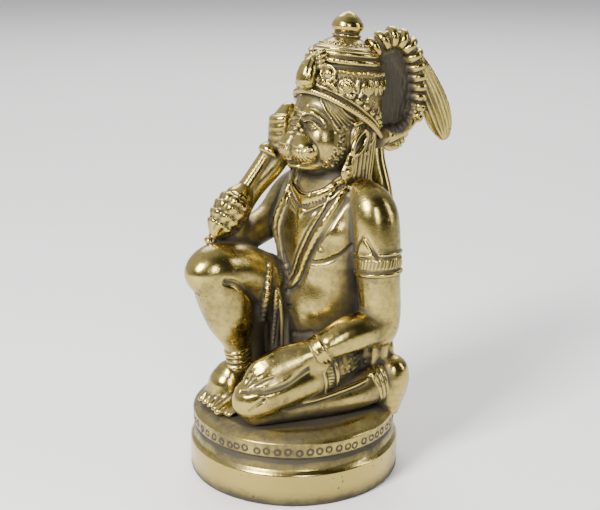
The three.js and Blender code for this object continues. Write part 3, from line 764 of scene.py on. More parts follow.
COLLAR = [[-112, 60.8, 0.9], [-73, 58.7, 1.1], [-45, 56.4, 1.4], [-14, 54, 1.9], [8, 52.9, 2.3],
          [27, 53.9, 2.0], [43, 55.1, 1.7], [58, 56.6, 1.5], [73, 58.5, 1.2], [112, 60.8, 0.9]]
COLLAR_BARS = 39
PENDANT = 8
collar = np.array([along(COLLAR, i / 60) for i in range(61)])
body.roll([[*on_chest(turn, height), half, 0.62] for turn, height, half in collar], wide=UP, melt=0.12)
body.score([on_chest(turn, height - half - 0.5) for turn, height, half in collar[4:57]], 0.4, 0.55)
body.roll([[*on_chest(PENDANT, 51.4), 1.9, 0.7], [*on_chest(PENDANT, 50.2), 1.2, 0.6],
           [*on_chest(PENDANT, 49.2), 0.4]], melt=0.15)
for i in range(COLLAR_BARS):
    turn = -104 + 5.5 * i
    _, height, half = along(collar, (turn + 112) / 224)
    body.score(laid([(turn, height - half + 0.5), (turn, height + half - 0.5)]), 0.28, 0.8)
for edge in (-1, 1):
    border = collar[:, :2] + np.outer(collar[:, 2] - 0.1, (0, edge))
    body.roll([[*p, 0.36] for p in laid(border, 0.1)], melt=0.08)
for ring in (0.45, 1.05):
    body.score(laid(oval((PENDANT, 53), (5.4 * ring, 0), (0, ring))), 0.2, 0.4, spacing=0.3)
for side in (-1, 1):
    for i in range(4):
        ray = [(PENDANT + side * (7.5 + 2.6 * i), 54.4), (PENDANT + side * (3.5 + 1.4 * i), 50.8)]
        body.score(laid(ray), 0.2, 0.38)

# Hems. Thin twisted rolls of wax edge the pleats, and a plain one the cloth along the left shin.
# They are laid on last, so that they stand clear of the folds.

body.roll([[-3.6, -5.2, 36.4, 1.0, 0.8], [-1.9, -7.2, 31.4, 1.0, 0.8], [-2.6, -7.6, 26.6, 1.0, 0.8],
           [-4.2, -7.2, 21.6, 1.0, 0.8]], wide=(1, -0.6, 0), melt=0.15, lay=(0.16, 1.5, 1), spacing=0.8)
body.roll([[-0.4, -5.6, 30.5, 0.55], [-1, -5.4, 24, 0.6], [-1.6, -5.8, 16, 0.55]], melt=0.15,
          lay=(0.12, 1.2, 1), spacing=0.8)
body.roll([[13.6, -14, 5.6, 0.5], [16.4, -8.4, 6, 0.6], [18.4, -2.6, 7, 0.7], [20, 3.4, 8.1, 0.7],
           [20.6, 7, 8.8, 0.5]], melt=0.2)

# Mace. Turned in wax with a lobed head and a knob at its tip, on a plain shaft with a collar, and
# pressed to the forearm so that the two are cast as one.

MACE_TIP = np.array([-13.8, -17.2, 42.2])
MACE_TOP = np.array([-11, 5, 68.0])
MACE_LENGTH = np.linalg.norm(MACE_TOP - MACE_TIP)
LOBES = 8
LOBE_DEPTH = 0.5


def lobed(radius, height, bearing):
    """The lobes of the swelling part of the head, fading out at its ends."""
    fade = np.clip((height - 3) / 2, 0, 1) * np.clip((16 - height) / 2, 0, 1)
    return radius + fade * LOBE_DEPTH * (1 - np.abs(np.cos(LOBES / 2 * bearing)))


body.turned([(0, 0), (1.4, 0.2), (1.8, 0.9), (1.5, 1.6), (1.2, 2.2), (1.5, 2.8), (3.7, 5.2), (4.0, 5.9),
             (3.6, 6.4), (4.5, 7.6), (4.8, 8.4), (4.3, 9.0), (4.8, 10.2), (5, 11.1), (4.4, 11.8),
             (4.7, 12.8), (4.5, 13.8), (3.7, 14.4), (3.7, 15.2), (2.5, 17.2), (2.1, 18),
             (2, MACE_LENGTH - 6.2), (2.9, MACE_LENGTH - 5.8), (3.1, MACE_LENGTH - 5),
             (2.9, MACE_LENGTH - 4.2), (0, MACE_LENGTH)], MACE_TIP, MACE_TOP - MACE_TIP, 0.12, lobed)

# Bracelets, armlet and anklets. Flat bands of wax, notched before casting, with a pointed leaf
# above the armlet and a band of small lumps of cloth below the left thigh's band.

CLOTH_LUMPS = 46
body.belt(LEFT_ARM, 0.405, 0.38, 0.5, melt=0.12)
body.belt(LEFT_ARM, 0.44, 1.3, 0.4, notches=40, notch=0.34, slant=1.6)
body.belt(LEFT_ARM, 0.478, 0.42, 0.65, melt=0.12)
body.roll([[19.4, 7.4, 41.4, 3.0, 0.6], [19.3, 7.1, 43.6, 2.3, 0.65], [19.1, 7.1, 45.6, 1.2, 0.55],
           [19.0, 7.3, 47.2, 0.35]], wide=(0.92, 0.36, -0.2), melt=0.2)
body.score([(19.7, 6.8, 46.4), (20.9, 7.4, 44.2), (22.2, 8.4, 41.6)], 0.42, 0.95)
body.score([(18.4, 6.7, 46.6), (17, 6.4, 44.4), (16.1, 6.4, 41.8)], 0.32, 0.6)
for share in (0.66, 0.72, 0.78):
    body.belt(LEFT_FOREARM, share, 0.5, 0.55, melt=0.12)
body.belt(LEFT_THIGH, 0.262, 0.5, 0.5)
body.belt(LEFT_THIGH, 0.305, 1.0, 0.4, notches=54, notch=0.36, slant=2.0)
body.belt(LEFT_THIGH, 0.345, 0.32, 0.5)
chance = np.random.default_rng(17)
for i in range(CLOTH_LUMPS):
    back, height = chance.uniform(1.2, 11.5), chance.uniform(9.6, 16.0)
    spot = body.touch((30, back, height), (-1, 0, 0))
    if i % 3:
        body.ball(spot, (0.4, 0.75 - 0.1 * (i % 4), 0.42), 0.15)
    else:
        body.score([spot, spot + (0, 0.9, 0.5)], 0.3, 0.5)
for share in (0.75, 0.8, 0.85):
    body.belt(LEFT_SHIN, share, 0.4, 0.42, notches=60, notch=0.14)
body.belt(RIGHT_THIGH, 0.30, 0.7, 0.3, notches=60, notch=0.3)
for share in (0.72, 0.76, 0.8, 0.84):
    body.belt(RIGHT_SHIN, share, 0.36, 0.5)

# Casting. The wax is melted out and brass poured in: the surface where the distance is zero
# becomes the mesh, set in its place on the plinth. The body is poured as two meshes.

WAIST = 31.0
OVERLAP = 0.4
FACING_CELLS = 1.6
BODY_TRIANGLES = 194000


def skin(field):
    """The surface of the field as points and four-sided faces, one point to each cell it crosses."""
    inside = field < 0
    total = np.zeros([n - 1 for n in inside.shape], np.uint8)
    for corner in np.ndindex(2, 2, 2):
        total += inside[tuple(slice(c, n - 1 + c) for c, n in zip(corner, inside.shape))]
    mixed = (total > 0) & (total < 8)
    number = np.full(mixed.shape, -1, np.int32)
    count = np.count_nonzero(mixed)
    number[mixed] = np.arange(count, dtype=np.int32)
    sums = np.zeros((count, 3))
    hits = np.zeros(count)
    faces = []
    for axis in range(3):
        others = [i for i in range(3) if i != axis]
        lower = tuple(slice(None, -1) if i == axis else slice(None) for i in range(3))
        upper = tuple(slice(1, None) if i == axis else slice(None) for i in range(3))
        edge = np.argwhere(inside[lower] != inside[upper])
        for i in others:
            edge = edge[(edge[:, i] > 0) & (edge[:, i] < field.shape[i] - 1)]
        step = np.eye(3, dtype=int)
        a, b = field[tuple(edge.T)], field[tuple((edge + step[axis]).T)]
        spot = edge.astype(float)
        spot[:, axis] += a / (a - b)
        ring = []
        for back in ((1, 1), (0, 1), (0, 0), (1, 0)):
            index = number[tuple((edge - back[0] * step[others[0]] - back[1] * step[others[1]]).T)]
            ring.append(index)
            for c in range(3):
                sums[:, c] += np.bincount(index, spot[:, c], count)
            hits += np.bincount(index, minlength=count)
        ring = np.stack(ring, 1)
        flip = (a < 0) == (axis != 1)
        ring[~flip] = ring[~flip][:, ::-1]
        faces.append(ring)
    return sums / hits[:, None], np.vstack(faces)


def places_of(mesh):
    """Where the points of a finished mesh lie, in shares from the middle of the plinth's top."""
    places = np.empty(len(mesh.vertices) * 3, np.float32)
    mesh.vertices.foreach_get("co", places)
    return (places.reshape(-1, 3) - [0, 0, PLINTH_HEIGHT * MM]) / SHARE


def pour(wax, name, most, low=-999, high=999):
    """Pour one block, or the part of it between two heights, as a piece of so many triangles."""
    points, faces = skin(wax.field)
    points = (wax.low + points * wax.cell) @ wax.turn.T + wax.place
    level = points[faces[:, 0], 2]
    faces = faces[(level > low) & (level < high)]
    used, order = np.unique(faces, return_inverse=True)
    points, faces = points[used], order.reshape(faces.shape)
    piece = as_mesh(name, points * SHARE + [0, 0, PLINTH_HEIGHT * MM], faces)
    if len(faces) * 2 > most:
        thin = piece.modifiers.new("thin", "DECIMATE")
        thin.ratio = most / (len(faces) * 2)
        graph = bpy.context.evaluated_depsgraph_get()
        thinned = bpy.data.meshes.new_from_object(piece.evaluated_get(graph))
        piece.modifiers.clear()
        piece.data = thinned
    normals = wax.facing(wax.own(places_of(piece.data)), wax.cell * FACING_CELLS) @ wax.turn.T
    piece.data.shade_smooth()
    piece.data.normals_split_custom_set_from_vertices(normals.astype(np.float32))
    piece.data.materials.append(brass)
    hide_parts("figure_with_plinth")
    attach(piece, "root")
    return piece


upper_body = pour(body, "upper_body", BODY_TRIANGLES, low=WAIST - OVERLAP)
lower_body = pour(body, "lower_body", BODY_TRIANGLES, high=WAIST + OVERLAP)

# Crown. Built on the head's own block, whose frame has its origin in the middle of the head: the
# head leans back a little. The crown is turned, and its relief is modelled on it and then chased.

CROWN_BACK = 2.6
RIM_RADIUS = 11.5
RIM_MIDDLE = 2.9
RIM_DROP = 6.4
WALL_RADIUS = 10.9
HEAD_TRIANGLES = 196000
HEAD_PLACE = np.array([0, 12.5, 71.0])
HEAD_LEAN = math.radians(-8)
head = Wax((-13.8, -17, -15.5), (13.8, 17, 31.5), 0.17, HEAD_PLACE, HEAD_LEAN)


def on_crown(turn, radius, height):
    """A place on the crown, turned by degrees from the front towards the left side."""
    return outward(turn) * radius + [0, CROWN_BACK, height]


head.turned([(0, -6), (10.7, -6), (11.0, 8), (10.7, 9.6), (10.9, 11.6), (10.5, 13.6), (10.4, 15.3),
             (9.4, 15.9), (9.4, 16.5), (10.1, 16.9), (10.3, 17.4), (10.0, 18.0), (9.1, 18.3), (9.1, 18.6),
             (9.5, 19.0), (9.4, 19.5), (9.0, 19.9), (8.2, 20.1), (8.3, 20.5), (7.6, 20.8), (6.9, 21.2),
             (5.2, 22.3), (3.8, 23.0), (3.3, 23.2), (3.9, 23.5), (3.8, 23.9), (3.1, 24.1), (3.3, 24.5),
             (3.9, 25.0), (4.2, 25.9), (3.9, 27.0), (2.9, 28.3), (1.5, 29.4), (0, 29.9)],
            (0, CROWN_BACK, 0))
spans, (x, y, z) = head.around((-14, -17, -16), (14, 17, 11))
under_rim = z - RIM_MIDDLE + 0.3 + RIM_DROP / RIM_RADIUS * (y - CROWN_BACK)
head.put(spans, under_rim.astype(np.float32), 0.1, cut=True)

# Brow leaf. It stands well forward over the brow, with a ridged leaf, a boss in a ring and small
# curled scrolls at each side, all laid on in wax.

head.roll([[0, -9.2, 10.6, 2.2, 1.6], [0, -10.2, 12.0, 2.8, 2.1], [0, -9.7, 14.4, 2.6, 2.1],
           [0, -8.0, 17.0, 1.8, 1.5], [0, -6.6, 18.8, 0.7, 0.7]], melt=0.12)
for side in (-1, 1):
    head.score([(side * 1.6, -11.6, 9.8), (side * 2.2, -11.8, 12), (side * 1.9, -11.3, 14.6),
                (side * 1.0, -9.7, 17)], 0.26, 0.5)
    for i, (low_turn, high_turn, height) in enumerate(((9, 21, 14.9), (7, 20, 16.0), (5, 18, 17.1),
                                                       (3, 14, 18.2))):
        low_end = on_crown(side * low_turn, WALL_RADIUS - 0.15 * i, height)
        high_end = on_crown(side * high_turn, WALL_RADIUS - 0.3 - 0.3 * i, height + 1.5)
        middle = (low_end + high_end) / 2 + unit(low_end * [1, 1, 0]) * 0.55
        head.roll([[*low_end, 0.5], [*middle, 0.62], [*high_end, 0.4]], melt=0.1)
    out = unit(outward(side * 26) + [0, 0, 0.2])
    boss = on_crown(side * 26, 10.5, 14.2)
    beside = unit(np.cross(out, UP))
    lift = np.cross(beside, out)
    head.ball(boss, (1.5, 1.1, 1.5), 0.1, axes=(beside, out, lift))
    head.roll([[*p, 0.34] for p in oval(boss + out * 0.35, beside * 1.85, lift * 1.85, 2 * math.pi, 22)],
              melt=0.1, spacing=0.5)
    for turn, height, size in ((14, 11.0, 0.95), (21, 12.3, 0.8), (30, 11.6, 0.85), (20, 10.2, 0.7),
                               (37, 12.9, 0.7), (38, 10.4, 0.7), (12, 13.0, 0.6)):
        head.ball(on_crown(side * turn, WALL_RADIUS, height), size, 0.1)
        scroll = oval((turn, height), (3.8 * size, 0), (0, 0.8 * size), 5.2, 12)
        head.score([on_crown(side * t, 11.5, h) for t, h in scroll], 0.2, 0.3, spacing=0.3)

# Rosettes. A row of low bosses round the wall, chased with rings and short rays, with curls of wax
# under the front ones and a small upright scroll after each.

ROSETTES = (52, 84, 116, 148, 180, -148, -116, -84, -52)
for turn in ROSETTES:
    middle = on_crown(turn, WALL_RADIUS + 0.1, 11.6)
    out = outward(turn)
    beside = np.cross(out, UP)
    head.ball(middle - out * 0.1, (2.1, 0.95, 2.1), 0.1, axes=(beside, out, UP))
    for ring, deep in ((0.7, 0.45), (1.5, 0.4)):
        circle = oval(middle + out * (0.85 - 0.2 * ring), beside * ring, UP * ring, 2 * math.pi, 22)
        head.score(circle, 0.2, deep, spacing=0.3)
    for ray in oval((0, 0, 0), beside, UP, 2 * math.pi, 15)[:-1]:
        head.score([middle + out * 0.7 + ray * 0.9, middle + out * 0.5 + ray * 1.45], 0.17, 0.34)
    if abs(turn) < 60:
        for step in (-12, -4, 4, 12):
            curl = on_crown(turn + step, WALL_RADIUS, 8.9 + 0.12 * abs(step))
            head.ball(curl, 0.75, 0.1)
            head.score(oval(curl + out * 0.6, beside * 0.42, UP * 0.42, 5, 9), 0.16, 0.24, spacing=0.3)
    head.roll([[*on_crown(turn + 16, 10.8, 13.2), 0.5], [*on_crown(turn + 15, 10.9, 11.6), 0.65],
               [*on_crown(turn + 17, 10.8, 10), 0.4]], melt=0.1)

# Beads and rim. Beads and punched dots circle the crown, a band is hatched with slanting cuts, and
# a rolled and roped rim slopes down to the nape, with a row of curls on it.

BEADS = 52
BAND_CUTS = 104
TOP_DOTS = 30
ROPE_NOTCHES = 108
chance = np.random.default_rng(11)
for i in range(BEADS):
    turn = i * 360 / BEADS + chance.normal(0, 0.8)
    head.ball(on_crown(turn, 10.45, 14.9 + chance.normal(0, 0.12)), 0.5, 0.05)
    head.ball(on_crown(turn + 3.4, 10.7, 13.7 + chance.normal(0, 0.2)), 0.4, 0.06, cut=True)
for i in range(BAND_CUTS):
    turn = i * 360 / BAND_CUTS + chance.normal(0, 0.5)
    head.score([on_crown(turn - 1.6, 10.35, 16.8), on_crown(turn + 1.6, 10.3, 18.0)], 0.19, 0.42)
for i in range(TOP_DOTS):
    turn = i * 360 / TOP_DOTS
    head.ball(on_crown(turn + 3, 6.1, 21.9), 0.4, 0.06, cut=True)
    head.ball(on_crown(turn + 9, 6.6, 21.45), 0.34, 0.06)


def rim(radius, lift):
    """A ring round the foot of the crown, lower at the nape."""
    return [on_crown(turn, radius, RIM_MIDDLE + lift + RIM_DROP * math.cos(math.radians(turn)))
            for turn in np.linspace(0, 360, 91)]


for i, place in enumerate(rim(10.9, 3.2)[::3]):
    out = outward(12 * i)
    beside = np.array([-out[1], out[0], 0.25 * out[0]])
    head.ball(place, (1.05, 1.05, 0.95), 0.1)
    head.score(oval(place + out * 0.85, beside * 0.55, UP * 0.55, 5, 9), 0.2, 0.32, spacing=0.3)
    if 4 < i < 26:
        head.roll([[*(place + UP * 1.1), 0.45], [*(place + UP * 1.9 + beside * 0.5), 0.5],
                   [*(place + UP * 2.6 + beside * 0.2), 0.3]], melt=0.08)
head.roll([[*p, 0.85, 0.95] for p in rim(RIM_RADIUS, 0)], wide=UP, melt=0.08, spacing=1.0)
head.roll([[*p, 0.45, 0.6] for p in rim(RIM_RADIUS - 0.5, 1.7)], wide=UP, melt=0.08, spacing=1.0)
head.score(rim(RIM_RADIUS + 0.2, 1.05), 0.34, 0.6, spacing=1.0)


def heading(points, share, reach):
    """Which way a smooth curve runs at a share of it."""
    return unit(along(points, min(share + reach, 1)) - along(points, max(share - reach, 0)))


rope = rim(RIM_RADIUS + 0.85, 0)
for i in range(ROPE_NOTCHES):
    place = along(rope, i / ROPE_NOTCHES)
    slant = unit(UP + 0.35 * heading(rope, i / ROPE_NOTCHES, 0.004))
    head.score([place - slant * 0.7, place + slant * 0.7], 0.24, 0.5)

# Head and face. A mild, traditional monkey face: a muzzle of two rounded lobes with hatched pits
# under a small nose, full smooth cheeks, and half-closed eyes under a rounded brow.

head.ball((0, 0.2, 0.2), (9.0, 9.5, 10.2), 0.3)
head.ball((0, 5.2, -2), (8.6, 7.4, 10.4), 1)
head.ball((0, 0.4, 4.6), (8.8, 9.9, 7), 0.6)
for side in (-1, 1):
    head.ball((side * 3.7, -3.2, -3.6), (5.5, 5.9, 6.6), 1.8)
    head.ball((side * 3.5, -6.7, -2.6), (3.5, 3.2, 4.4), 2.2)
head.ball((0, -6.4, -8.8), (5.4, 4.8, 2.2), 1.0)
head.ball((0, -5.6, 3.4), (5.4, 4.2, 2.6), 1.6)
head.ball((0, -7.6, -9.7), (4.4, 4.3, 1.2), 0.25)
head.ball((0, -9.4, -3.4), (3.3, 3.3, 2.6), 0.5)
for side in (-1, 1):
    head.ball((side * 2.3, -9.9, -5.6), (4.0, 3.9, 3.8), 0.15)
    head.ball((side * 1.7, -10.2, -3.4), (2.5, 2.7, 2.4), 0.6)
head.roll([[0, -8.8, 3.6, 1.3, 1.0], [0, -9.9, 1.9, 1.0, 1.0], [0, -10.6, 0.7, 1.1, 0.9]])
for side in (-1, 1):
    head.ball((side * 1.25, -10.3, -0.6), (0.9, 1.1, 0.75), 0.25)
    head.ball((side * 0.9, -11.3, -1.0), 0.3, 0.1, cut=True)
    head.score([(side * 2.1, -10.2, 0.3), (side * 2.3, -10.6, -0.9), (side * 1.7, -11.0, -1.8)], 0.25, 0.4)


def on_face(path, side=1, out=0.0):
    """Places on one side of the face along a path of [across, height] rows, touched from the front."""
    return [head.touch((side * across, -16.6, height), (0, 1, 0), out) for across, height in path]


for side in (-1, 1):
    head.ball((side * 3.2, -10.3, 1.3), (2.9, 1.0, 1.3), 0.9, cut=True)
    head.ball((side * 3.1, -8.9, 1.0), (2.3, 0.9, 0.95), 0.15)
    brow = on_face(((0.5, 2.4), (1.5, 3.0), (3.0, 3.1), (4.6, 2.3), (6.1, 1.0)), side)
    upper_lid = on_face(((0.7, 1.7), (2.0, 2.05), (3.3, 1.9), (4.6, 1.3), (5.7, 0.4)), side, 0.05)
    lower_lid = on_face(((1.1, 0.9), (2.1, 0.3), (3.4, 0.15), (4.7, 0.45)), side)
    crease = on_face(((1.0, 1.25), (2.2, 1.45), (3.4, 1.3), (4.8, 0.75)), side)
    under = on_face(((1.2, 0.6), (2.2, -0.1), (3.5, -0.25), (4.9, 0.2)), side)
    head.roll([[*p, 0.4] for p in upper_lid], melt=0.1, spacing=0.5)
    head.roll([[*p, 0.32] for p in lower_lid], melt=0.1, spacing=0.5)
    head.score(brow, 0.34, 0.42, spacing=0.5)
    head.roll([[*(p + [0, 0.1, 0.9]), 0.6, 0.5] for p in brow], melt=0.5, spacing=0.5)
    head.score(on_face(((1.4, 5.6), (3.2, 5.7), (4.8, 5.0), (6.2, 3.8)), side), 0.3, 0.3)
    head.score(crease, 0.22, 0.42, spacing=0.4)
    head.score(under, 0.2, 0.25, spacing=0.4)
    for s in (0, 0.5, 1.0):
        head.score(on_face(((5.0 + s, 4.6 - 0.9 * s), (6.2 + 0.7 * s, 3.2 - s)), side), 0.17, 0.22)
    for i in range(-3, 4):
        for lean in (-1, 1):
            pit = [(2.5 + i * 0.82 + lean * (2 * t - 1), -8.2 + 3.4 * t) for t in (0, 0.33, 0.67, 1)]
            head.score(on_face(pit, side), 0.24, 0.5)
head.score(on_face([(0, h) for h in (-1.6, -2.6, -4.0, -5.6, -7.2, -8.4)]), 0.3, 0.55, spacing=0.5)
chin_line = [(a, -9.0 + 0.03 * a * a) for a in np.linspace(-4.6, 4.6, 13)]
head.score(on_face(chin_line), 0.32, 0.5, spacing=0.6)

# Hair. Long strands sweep back from the brow to the ears, short curls lie before them, and a
# square-cut block of combed hair hangs behind each ear, of rolls with grooves between.

STRANDS_LOW = np.array([(4.6, -8.9, 7.6), (6.6, -8.2, 5.2), (8.3, -6.9, 3.0), (9.0, -5.2, 0.6)])
STRANDS_HIGH = np.array([(8.6, -6.2, 6.6), (9.6, -4.4, 5.0), (10.1, -2.4, 3.8), (10.3, -0.2, 3.0)])
STRANDS = 11
CURLS = 90
BLOCK_ROLLS = 6
chance = np.random.default_rng(5)
grooves = []
for side in (-1, 1):
    head.roll([[side * 6.2, -5.2, 5.6, 1.9, 0.6], [side * 7.7, -3.1, 3.8, 2.2, 0.6],
               [side * 8.3, -0.8, 2.6, 1.6, 0.7]], wide=(0, 0.5, 0.86), melt=0.2)
    for i in range(STRANDS):
        strand = []
        for spot in (STRANDS_LOW + (STRANDS_HIGH - STRANDS_LOW) * i / (STRANDS - 1)) * [side, 1, 1]:
            out = unit([spot[0], spot[1] + 1, 0])
            strand.append(head.touch(spot + out * 3, -out))
        if i % 2 == 0:
            head.roll([[*p, 0.52] for p in strand], melt=0.05, spacing=0.6)
        else:
            grooves.append(strand)
for strand in grooves:
    head.score(strand, 0.3, 0.95, spacing=0.5)
for side in (-1, 1):
    for i in range(CURLS):
        back, height = chance.uniform(-5.6, -2.4), chance.uniform(-9.6, 1.4)
        spot = head.touch((side * 13, back + 0.08 * height, height), (-side, 0, 0))
        if i % 4 == 3:
            head.ball(spot, 0.4, 0.08, cut=True)
        else:
            head.ball(spot, (0.26, 0.4 + 0.1 * (i % 3), 0.34), 0.06)
    head.roll([[side * 8.0, 4.2, 4.6, 3.4, 1.9], [side * 8.6, 4.0, -4, 3.7, 2.0],
               [side * 8.7, 3.9, -12.8, 3.6, 2.0]], wide=(0, 1, 0), melt=0.2)
    for i in range(BLOCK_ROLLS):
        back = 0.9 + 1.25 * i
        out = 10.1 - 0.05 * (back - 3.4) ** 2
        head.roll([[side * (out - 0.5), back, 3.6, 0.66], [side * out, back, -2, 0.68],
                   [side * out, back, -13.6, 0.68]], melt=0.06)
        head.score([(side * (out + 0.3), back + 0.62, 2.6), (side * (out + 0.35), back + 0.62, -4),
                    (side * (out + 0.35), back + 0.62, -12.8)], 0.24, 0.6)
spans, (x, y, z) = head.around((-14, -2.6, -15.5), (14, 17, -12.2))
square = np.maximum(z + 12.5, np.maximum(6.4 - np.abs(x), -1.6 - y))
head.put(spans, square.astype(np.float32), 0.15, cut=True)

# Ears. A rolled rim stands round each ear, whose lobe is pierced by a large hole with a rolled
# edge. A drop with a ringed boss hangs in front of the hair.

HOLE_AXIS = unit((0, 0.47, 0.88))
for side in (-1, 1):
    head.ball((side * 8.9, 2.2, -1.4), (1.9, 3.4, 4.2), 0.3)
    head.roll([[side * 9.9, -0.6, 2.2, 0.62], [side * 10.3, 1.2, 3.0, 0.62], [side * 10.5, 3.4, 2.8, 0.62],
               [side * 10.5, 5.2, 1.2, 0.62], [side * 10.4, 5.7, -0.9, 0.62],
               [side * 10.3, 5.0, -2.6, 0.62]], melt=0.12, spacing=0.7)
    head.score([(side * 10.9, 1.6, 1.9), (side * 11, 3.6, 1.6), (side * 11, 4.6, 0.2)], 0.3, 0.5)
    head.ball((side * 10.6, 0.75, -2.4), (1.7, 1.25, 3.1), 0.15,
              axes=(LEFT, np.cross(HOLE_AXIS, LEFT), HOLE_AXIS), cut=True)
    edge = oval((side * 10.85, 0.75, -2.4), (0, 1.6, -0.5), (0, 1.65, 3.1), 2 * math.pi, 25)
    head.roll([[*p, 0.56] for p in edge], melt=0.08, spacing=0.6)
    head.ball((side * 10.6, 3.7, -4.9), 0.75, 0.1)
    head.ball((side * 11.2, 3.6, -4.9), 0.3, 0.08, cut=True)
    head.roll([[side * 10.2, -1.2, -5.6, 1.1, 0.9], [side * 10.5, -1.6, -7.6, 1.7, 1.1],
               [side * 10.5, -2.2, -9.8, 2.1, 1.2], [side * 10.4, -2.3, -11.2, 1.6, 1.0],
               [side * 10.2, -2.3, -12.2, 0.6]], wide=(0, 1, 0), melt=0.12)
    head.ball((side * 11.6, -2.7, -9.7), 0.62, 0.05)
    ring = oval((side * 11.6, -2.7, -9.7), (0, 1.05, 0), (0, 0, 1.05), count=16)
    head.score(ring, 0.24, 0.5, spacing=0.3)
    head.score([(side * 11.5, -1.2, -6.6), (side * 11.7, -0.8, -8.6), (side * 11.6, -0.6, -11)], 0.28, 0.6)

# Nape. Thick rolls of hair are combed straight down under the crown, in keeping with the hair at
# the sides, and close the head behind.

for i in range(13):
    turn = math.radians(-72 + 12 * i)
    back = np.array([math.sin(turn) * 8.6, 4.6 + math.cos(turn) * 8.2, 0])
    head.roll([[*(back + [0, 0, 1]), 1.1], [*(back * [1.02, 1.0, 0] + [0, -0.2, -4]), 1.15],
               [*(back * [0.98, 0.94, 0] + [0, 0, -11.6]), 1.0]], melt=0.12)
head.ball((0, 6.0, -6), (8.2, 6.4, 6.4), 0.2)
figure_head = pour(head, "head_and_crown", HEAD_TRIANGLES)

# Tail. It runs up the back as a smooth strip, loops behind the crown in rings with a thin web of
# brass left in the loop, and falls in a long tuft of hair.

STRIP = [[2, 23, 2, 3.2, 3], [7, 24, 16, 2.8], [10.6, 23, 30, 2.5], [12, 22.2, 44, 2.4],
         [10.8, 21.8, 54, 2.4], [8.4, 21.4, 63, 2.3], [7.6, 22.6, 68, 2.2], [8.4, 26.5, 69.4, 2.1]]
LOOP = [[8.0, 22.6, 67.8], [9.0, 26, 68.6], [9.2, 31.4, 70.4], [9, 34.4, 73.4], [9, 35.6, 77.8],
        [9, 35.6, 82.6], [8.8, 34.2, 87.6], [8, 31.4, 92], [6.6, 27.2, 93.4], [5, 23, 91]]
TAIL_RINGS = 16
FIRST_RING = 5
RING_OUTLINE = [(0, -1.0), (2.4, -1.0), (2.85, -0.7), (3.0, 0), (2.85, 0.7), (2.4, 1.0), (0, 1.0)]
TAIL_TRIANGLES = 130000
tail = Wax((-3, 17.5, -2.5), (19.5, 48.5, 99.5), 0.24)
tail.roll(STRIP)
tail.roll([[7.4, 23.8, 67, 4, 1.0], [7.2, 27.4, 70.6, 6.6, 1.0], [7.0, 28.4, 79, 6.9, 0.9],
           [6.6, 27.4, 91, 4.4, 1.0]], wide=(0.2, 0.98, 0), melt=0.4)
chance = np.random.default_rng(3)
for i in range(12):
    across = 23.2 + 0.85 * i
    tail.score([tail.touch((16, across + chance.normal(0, 0.3), height), (-1, 0, 0))
                for height in np.linspace(69 + abs(i - 5), 88 - abs(i - 4), 6)], 0.3, 0.45)
tail.roll([[*p, 1.9] for p in LOOP], melt=0.2)
for i in range(FIRST_RING, TAIL_RINGS + 1):
    share = i / TAIL_RINGS
    tail.turned(RING_OUTLINE, along(LOOP, share), heading(LOOP, share, 0.01), 0.1)
for i in range(7):
    tail.score([tail.touch((16, 24 + 1.5 * i + 2.4 * t, 66.2 + 1.2 * i - 0.1 * i * i + 7 * t), (-1, 0, 0))
                for t in np.linspace(0, 1, 5)], 0.4, 0.6)
tail.roll([[8.4, 32.4, 91, 1.6, 1.4], [9.6, 36, 84.4, 3.0, 2.2], [10.8, 39.6, 76.6, 3.9, 2.7],
           [11.5, 42.2, 70.4, 3.5, 2.3], [11.9, 43.6, 66.4, 1.8, 1.3]], wide=(0.6, 0.8, 0.25),
          flutes=18, flute=0.6, melt=0.2)
figure_tail = pour(tail, "tail", TAIL_TRIANGLES)

# Tarnish and painted shade. Handling and polish keep the high places bright, and dark patina stays in
# the chased lines and pits; broad hollows and sheltered places are darkened further as painted shade.
# How hollow and how sheltered each place is, is measured from how much metal lies round it.

FINE_SPREAD = 0.36
NEAR_SPREAD = 1.6
FAR_SPREAD = 4.2
PLINTH_DEPTH = PLINTH_HEIGHT * MM / SHARE
ENDLESS = np.inf
# Middles of the painted shadows in the tail's web, the lap, round the neck and at the temples.
WEB = (0, 27.8, 79.5)
LAP = (-1.5, -6.5, 15)
NECK = (0, 12.5, 0)
TEMPLE = (0, -4.2, -4)


def metal_in(wax):
    """How full of metal each cell of a block is, from 0 to 1."""
    return np.clip(0.5 - wax.field / wax.cell, 0, 1)


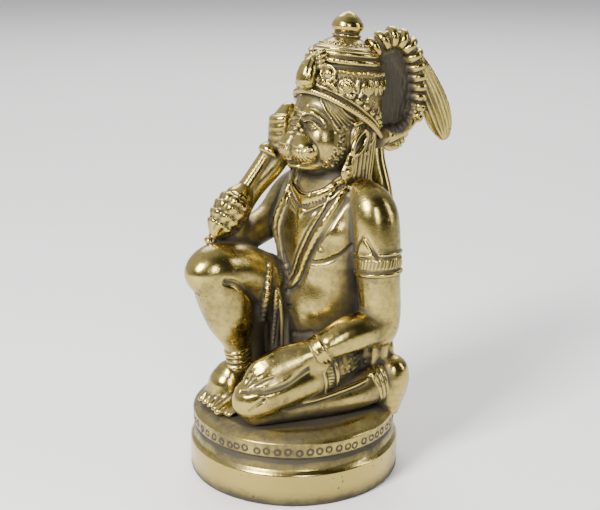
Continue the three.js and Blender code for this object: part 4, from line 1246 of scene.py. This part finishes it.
whole = Wax((-33, -33, -23), (33, 52, 105), 0.7)
axes = [low + whole.cell * np.arange(count) for low, count in zip(whole.low, whole.count)]
grid = np.stack(np.meshgrid(*axes, indexing="ij"), -1).reshape(-1, 3)
drum = np.maximum(grid[:, 2], -PLINTH_DEPTH - grid[:, 2])
distance = np.maximum(np.hypot(grid[:, 0], grid[:, 1]) - BAND_RADIUS * MM / SHARE, drum)
for wax in (body, head, tail):
    own = wax.own(grid)
    inside = np.all((own > wax.low) & (own < wax.low + (wax.count - 1) * wax.cell), 1)
    distance[inside] = np.minimum(distance[inside], wax.depth(own[inside]))
whole.field = np.minimum(distance, 4.0).reshape(whole.count).astype(np.float32)
filled = metal_in(whole)
filled[:, :, axes[2] < -PLINTH_DEPTH] = 1
near, far = blurred(filled, NEAR_SPREAD / whole.cell), blurred(filled, FAR_SPREAD / whole.cell)


def shadow(places, middle, sizes, full, soft):
    """1 well within an egg-shaped shadow, fading to 0 over its edge."""
    out = np.sqrt((((places - middle) / sizes) ** 2).sum(1))
    return np.clip((full - out) / soft, 0, 1)


for piece, wax in ((plinth, None), (upper_body, body), (lower_body, body), (figure_head, head),
                   (figure_tail, tail)):
    places = places_of(piece.data)
    broad = whole.depth(places, near)
    # How shut in each place is: it darkens the brass as painted shade, and as tarnish where no hand
    # reaches.
    shade_and_tarnish = whole.depth(places, far)
    if wax is None:
        up = places[:, 2] * SHARE / MM + PLINTH_HEIGHT
        wall = np.hypot(places[:, 0], places[:, 1]) * SHARE / MM > 24
        on_band = (up > GROOVE_TOP) & (up < BAND_TOP) & wall
        # The punched rings hold patina; the groove under the band is darkened as patina and as painted
        # shade.
        fine = 0.5 + 0.8 * np.where(on_band, punched(np.arctan2(places[:, 1], places[:, 0]), up), 0)
        fine += 0.16 * np.exp(-((up - (SHOULDER_TOP + GROOVE_TOP) / 2) / 0.5) ** 2) * wall
    else:
        own = wax.own(places)
        fine = wax.depth(own, blurred(metal_in(wax), max(FINE_SPREAD / wax.cell, 1.9)))
    # Painted shadows: inside the tail's loop, low in the loop, between the legs, round the neck and at the
    # temples.
    if wax is tail:
        shade_and_tarnish += 0.45 * shadow(places, WEB, (ENDLESS, 6.2, 11), 1.05, 0.2)
        shade_and_tarnish += 0.2 * np.clip((74 - places[:, 2]) / 3, 0, 1) * (places[:, 2] > 66)
    if wax is body:
        shade_and_tarnish += 0.34 * shadow(places, LAP, (5.5, 5, 14), 1.2, 0.5)
        shade_and_tarnish += 0.35 * shadow(places, NECK, (1, 1, ENDLESS), 8.4, 1.2) * (places[:, 2] > 59)
    if wax is head:
        at_side = np.abs(own[:, 0]) > 6.5
        shade_and_tarnish += 0.16 * shadow(own, TEMPLE, (ENDLESS, 2.2, 6.4), 1.15, 0.3) * at_side
    # Hollow is the patina in fine lines plus a share of broad painted shade; the second measure is painted
    # shade and tarnish.
    for name, values in (("hollow", 0.65 * fine + 0.35 * broad), ("shade_and_tarnish", shade_and_tarnish)):
        layer = piece.data.attributes.new(name, "FLOAT", "POINT")
        layer.data.foreach_set("value", values.astype(np.float32))
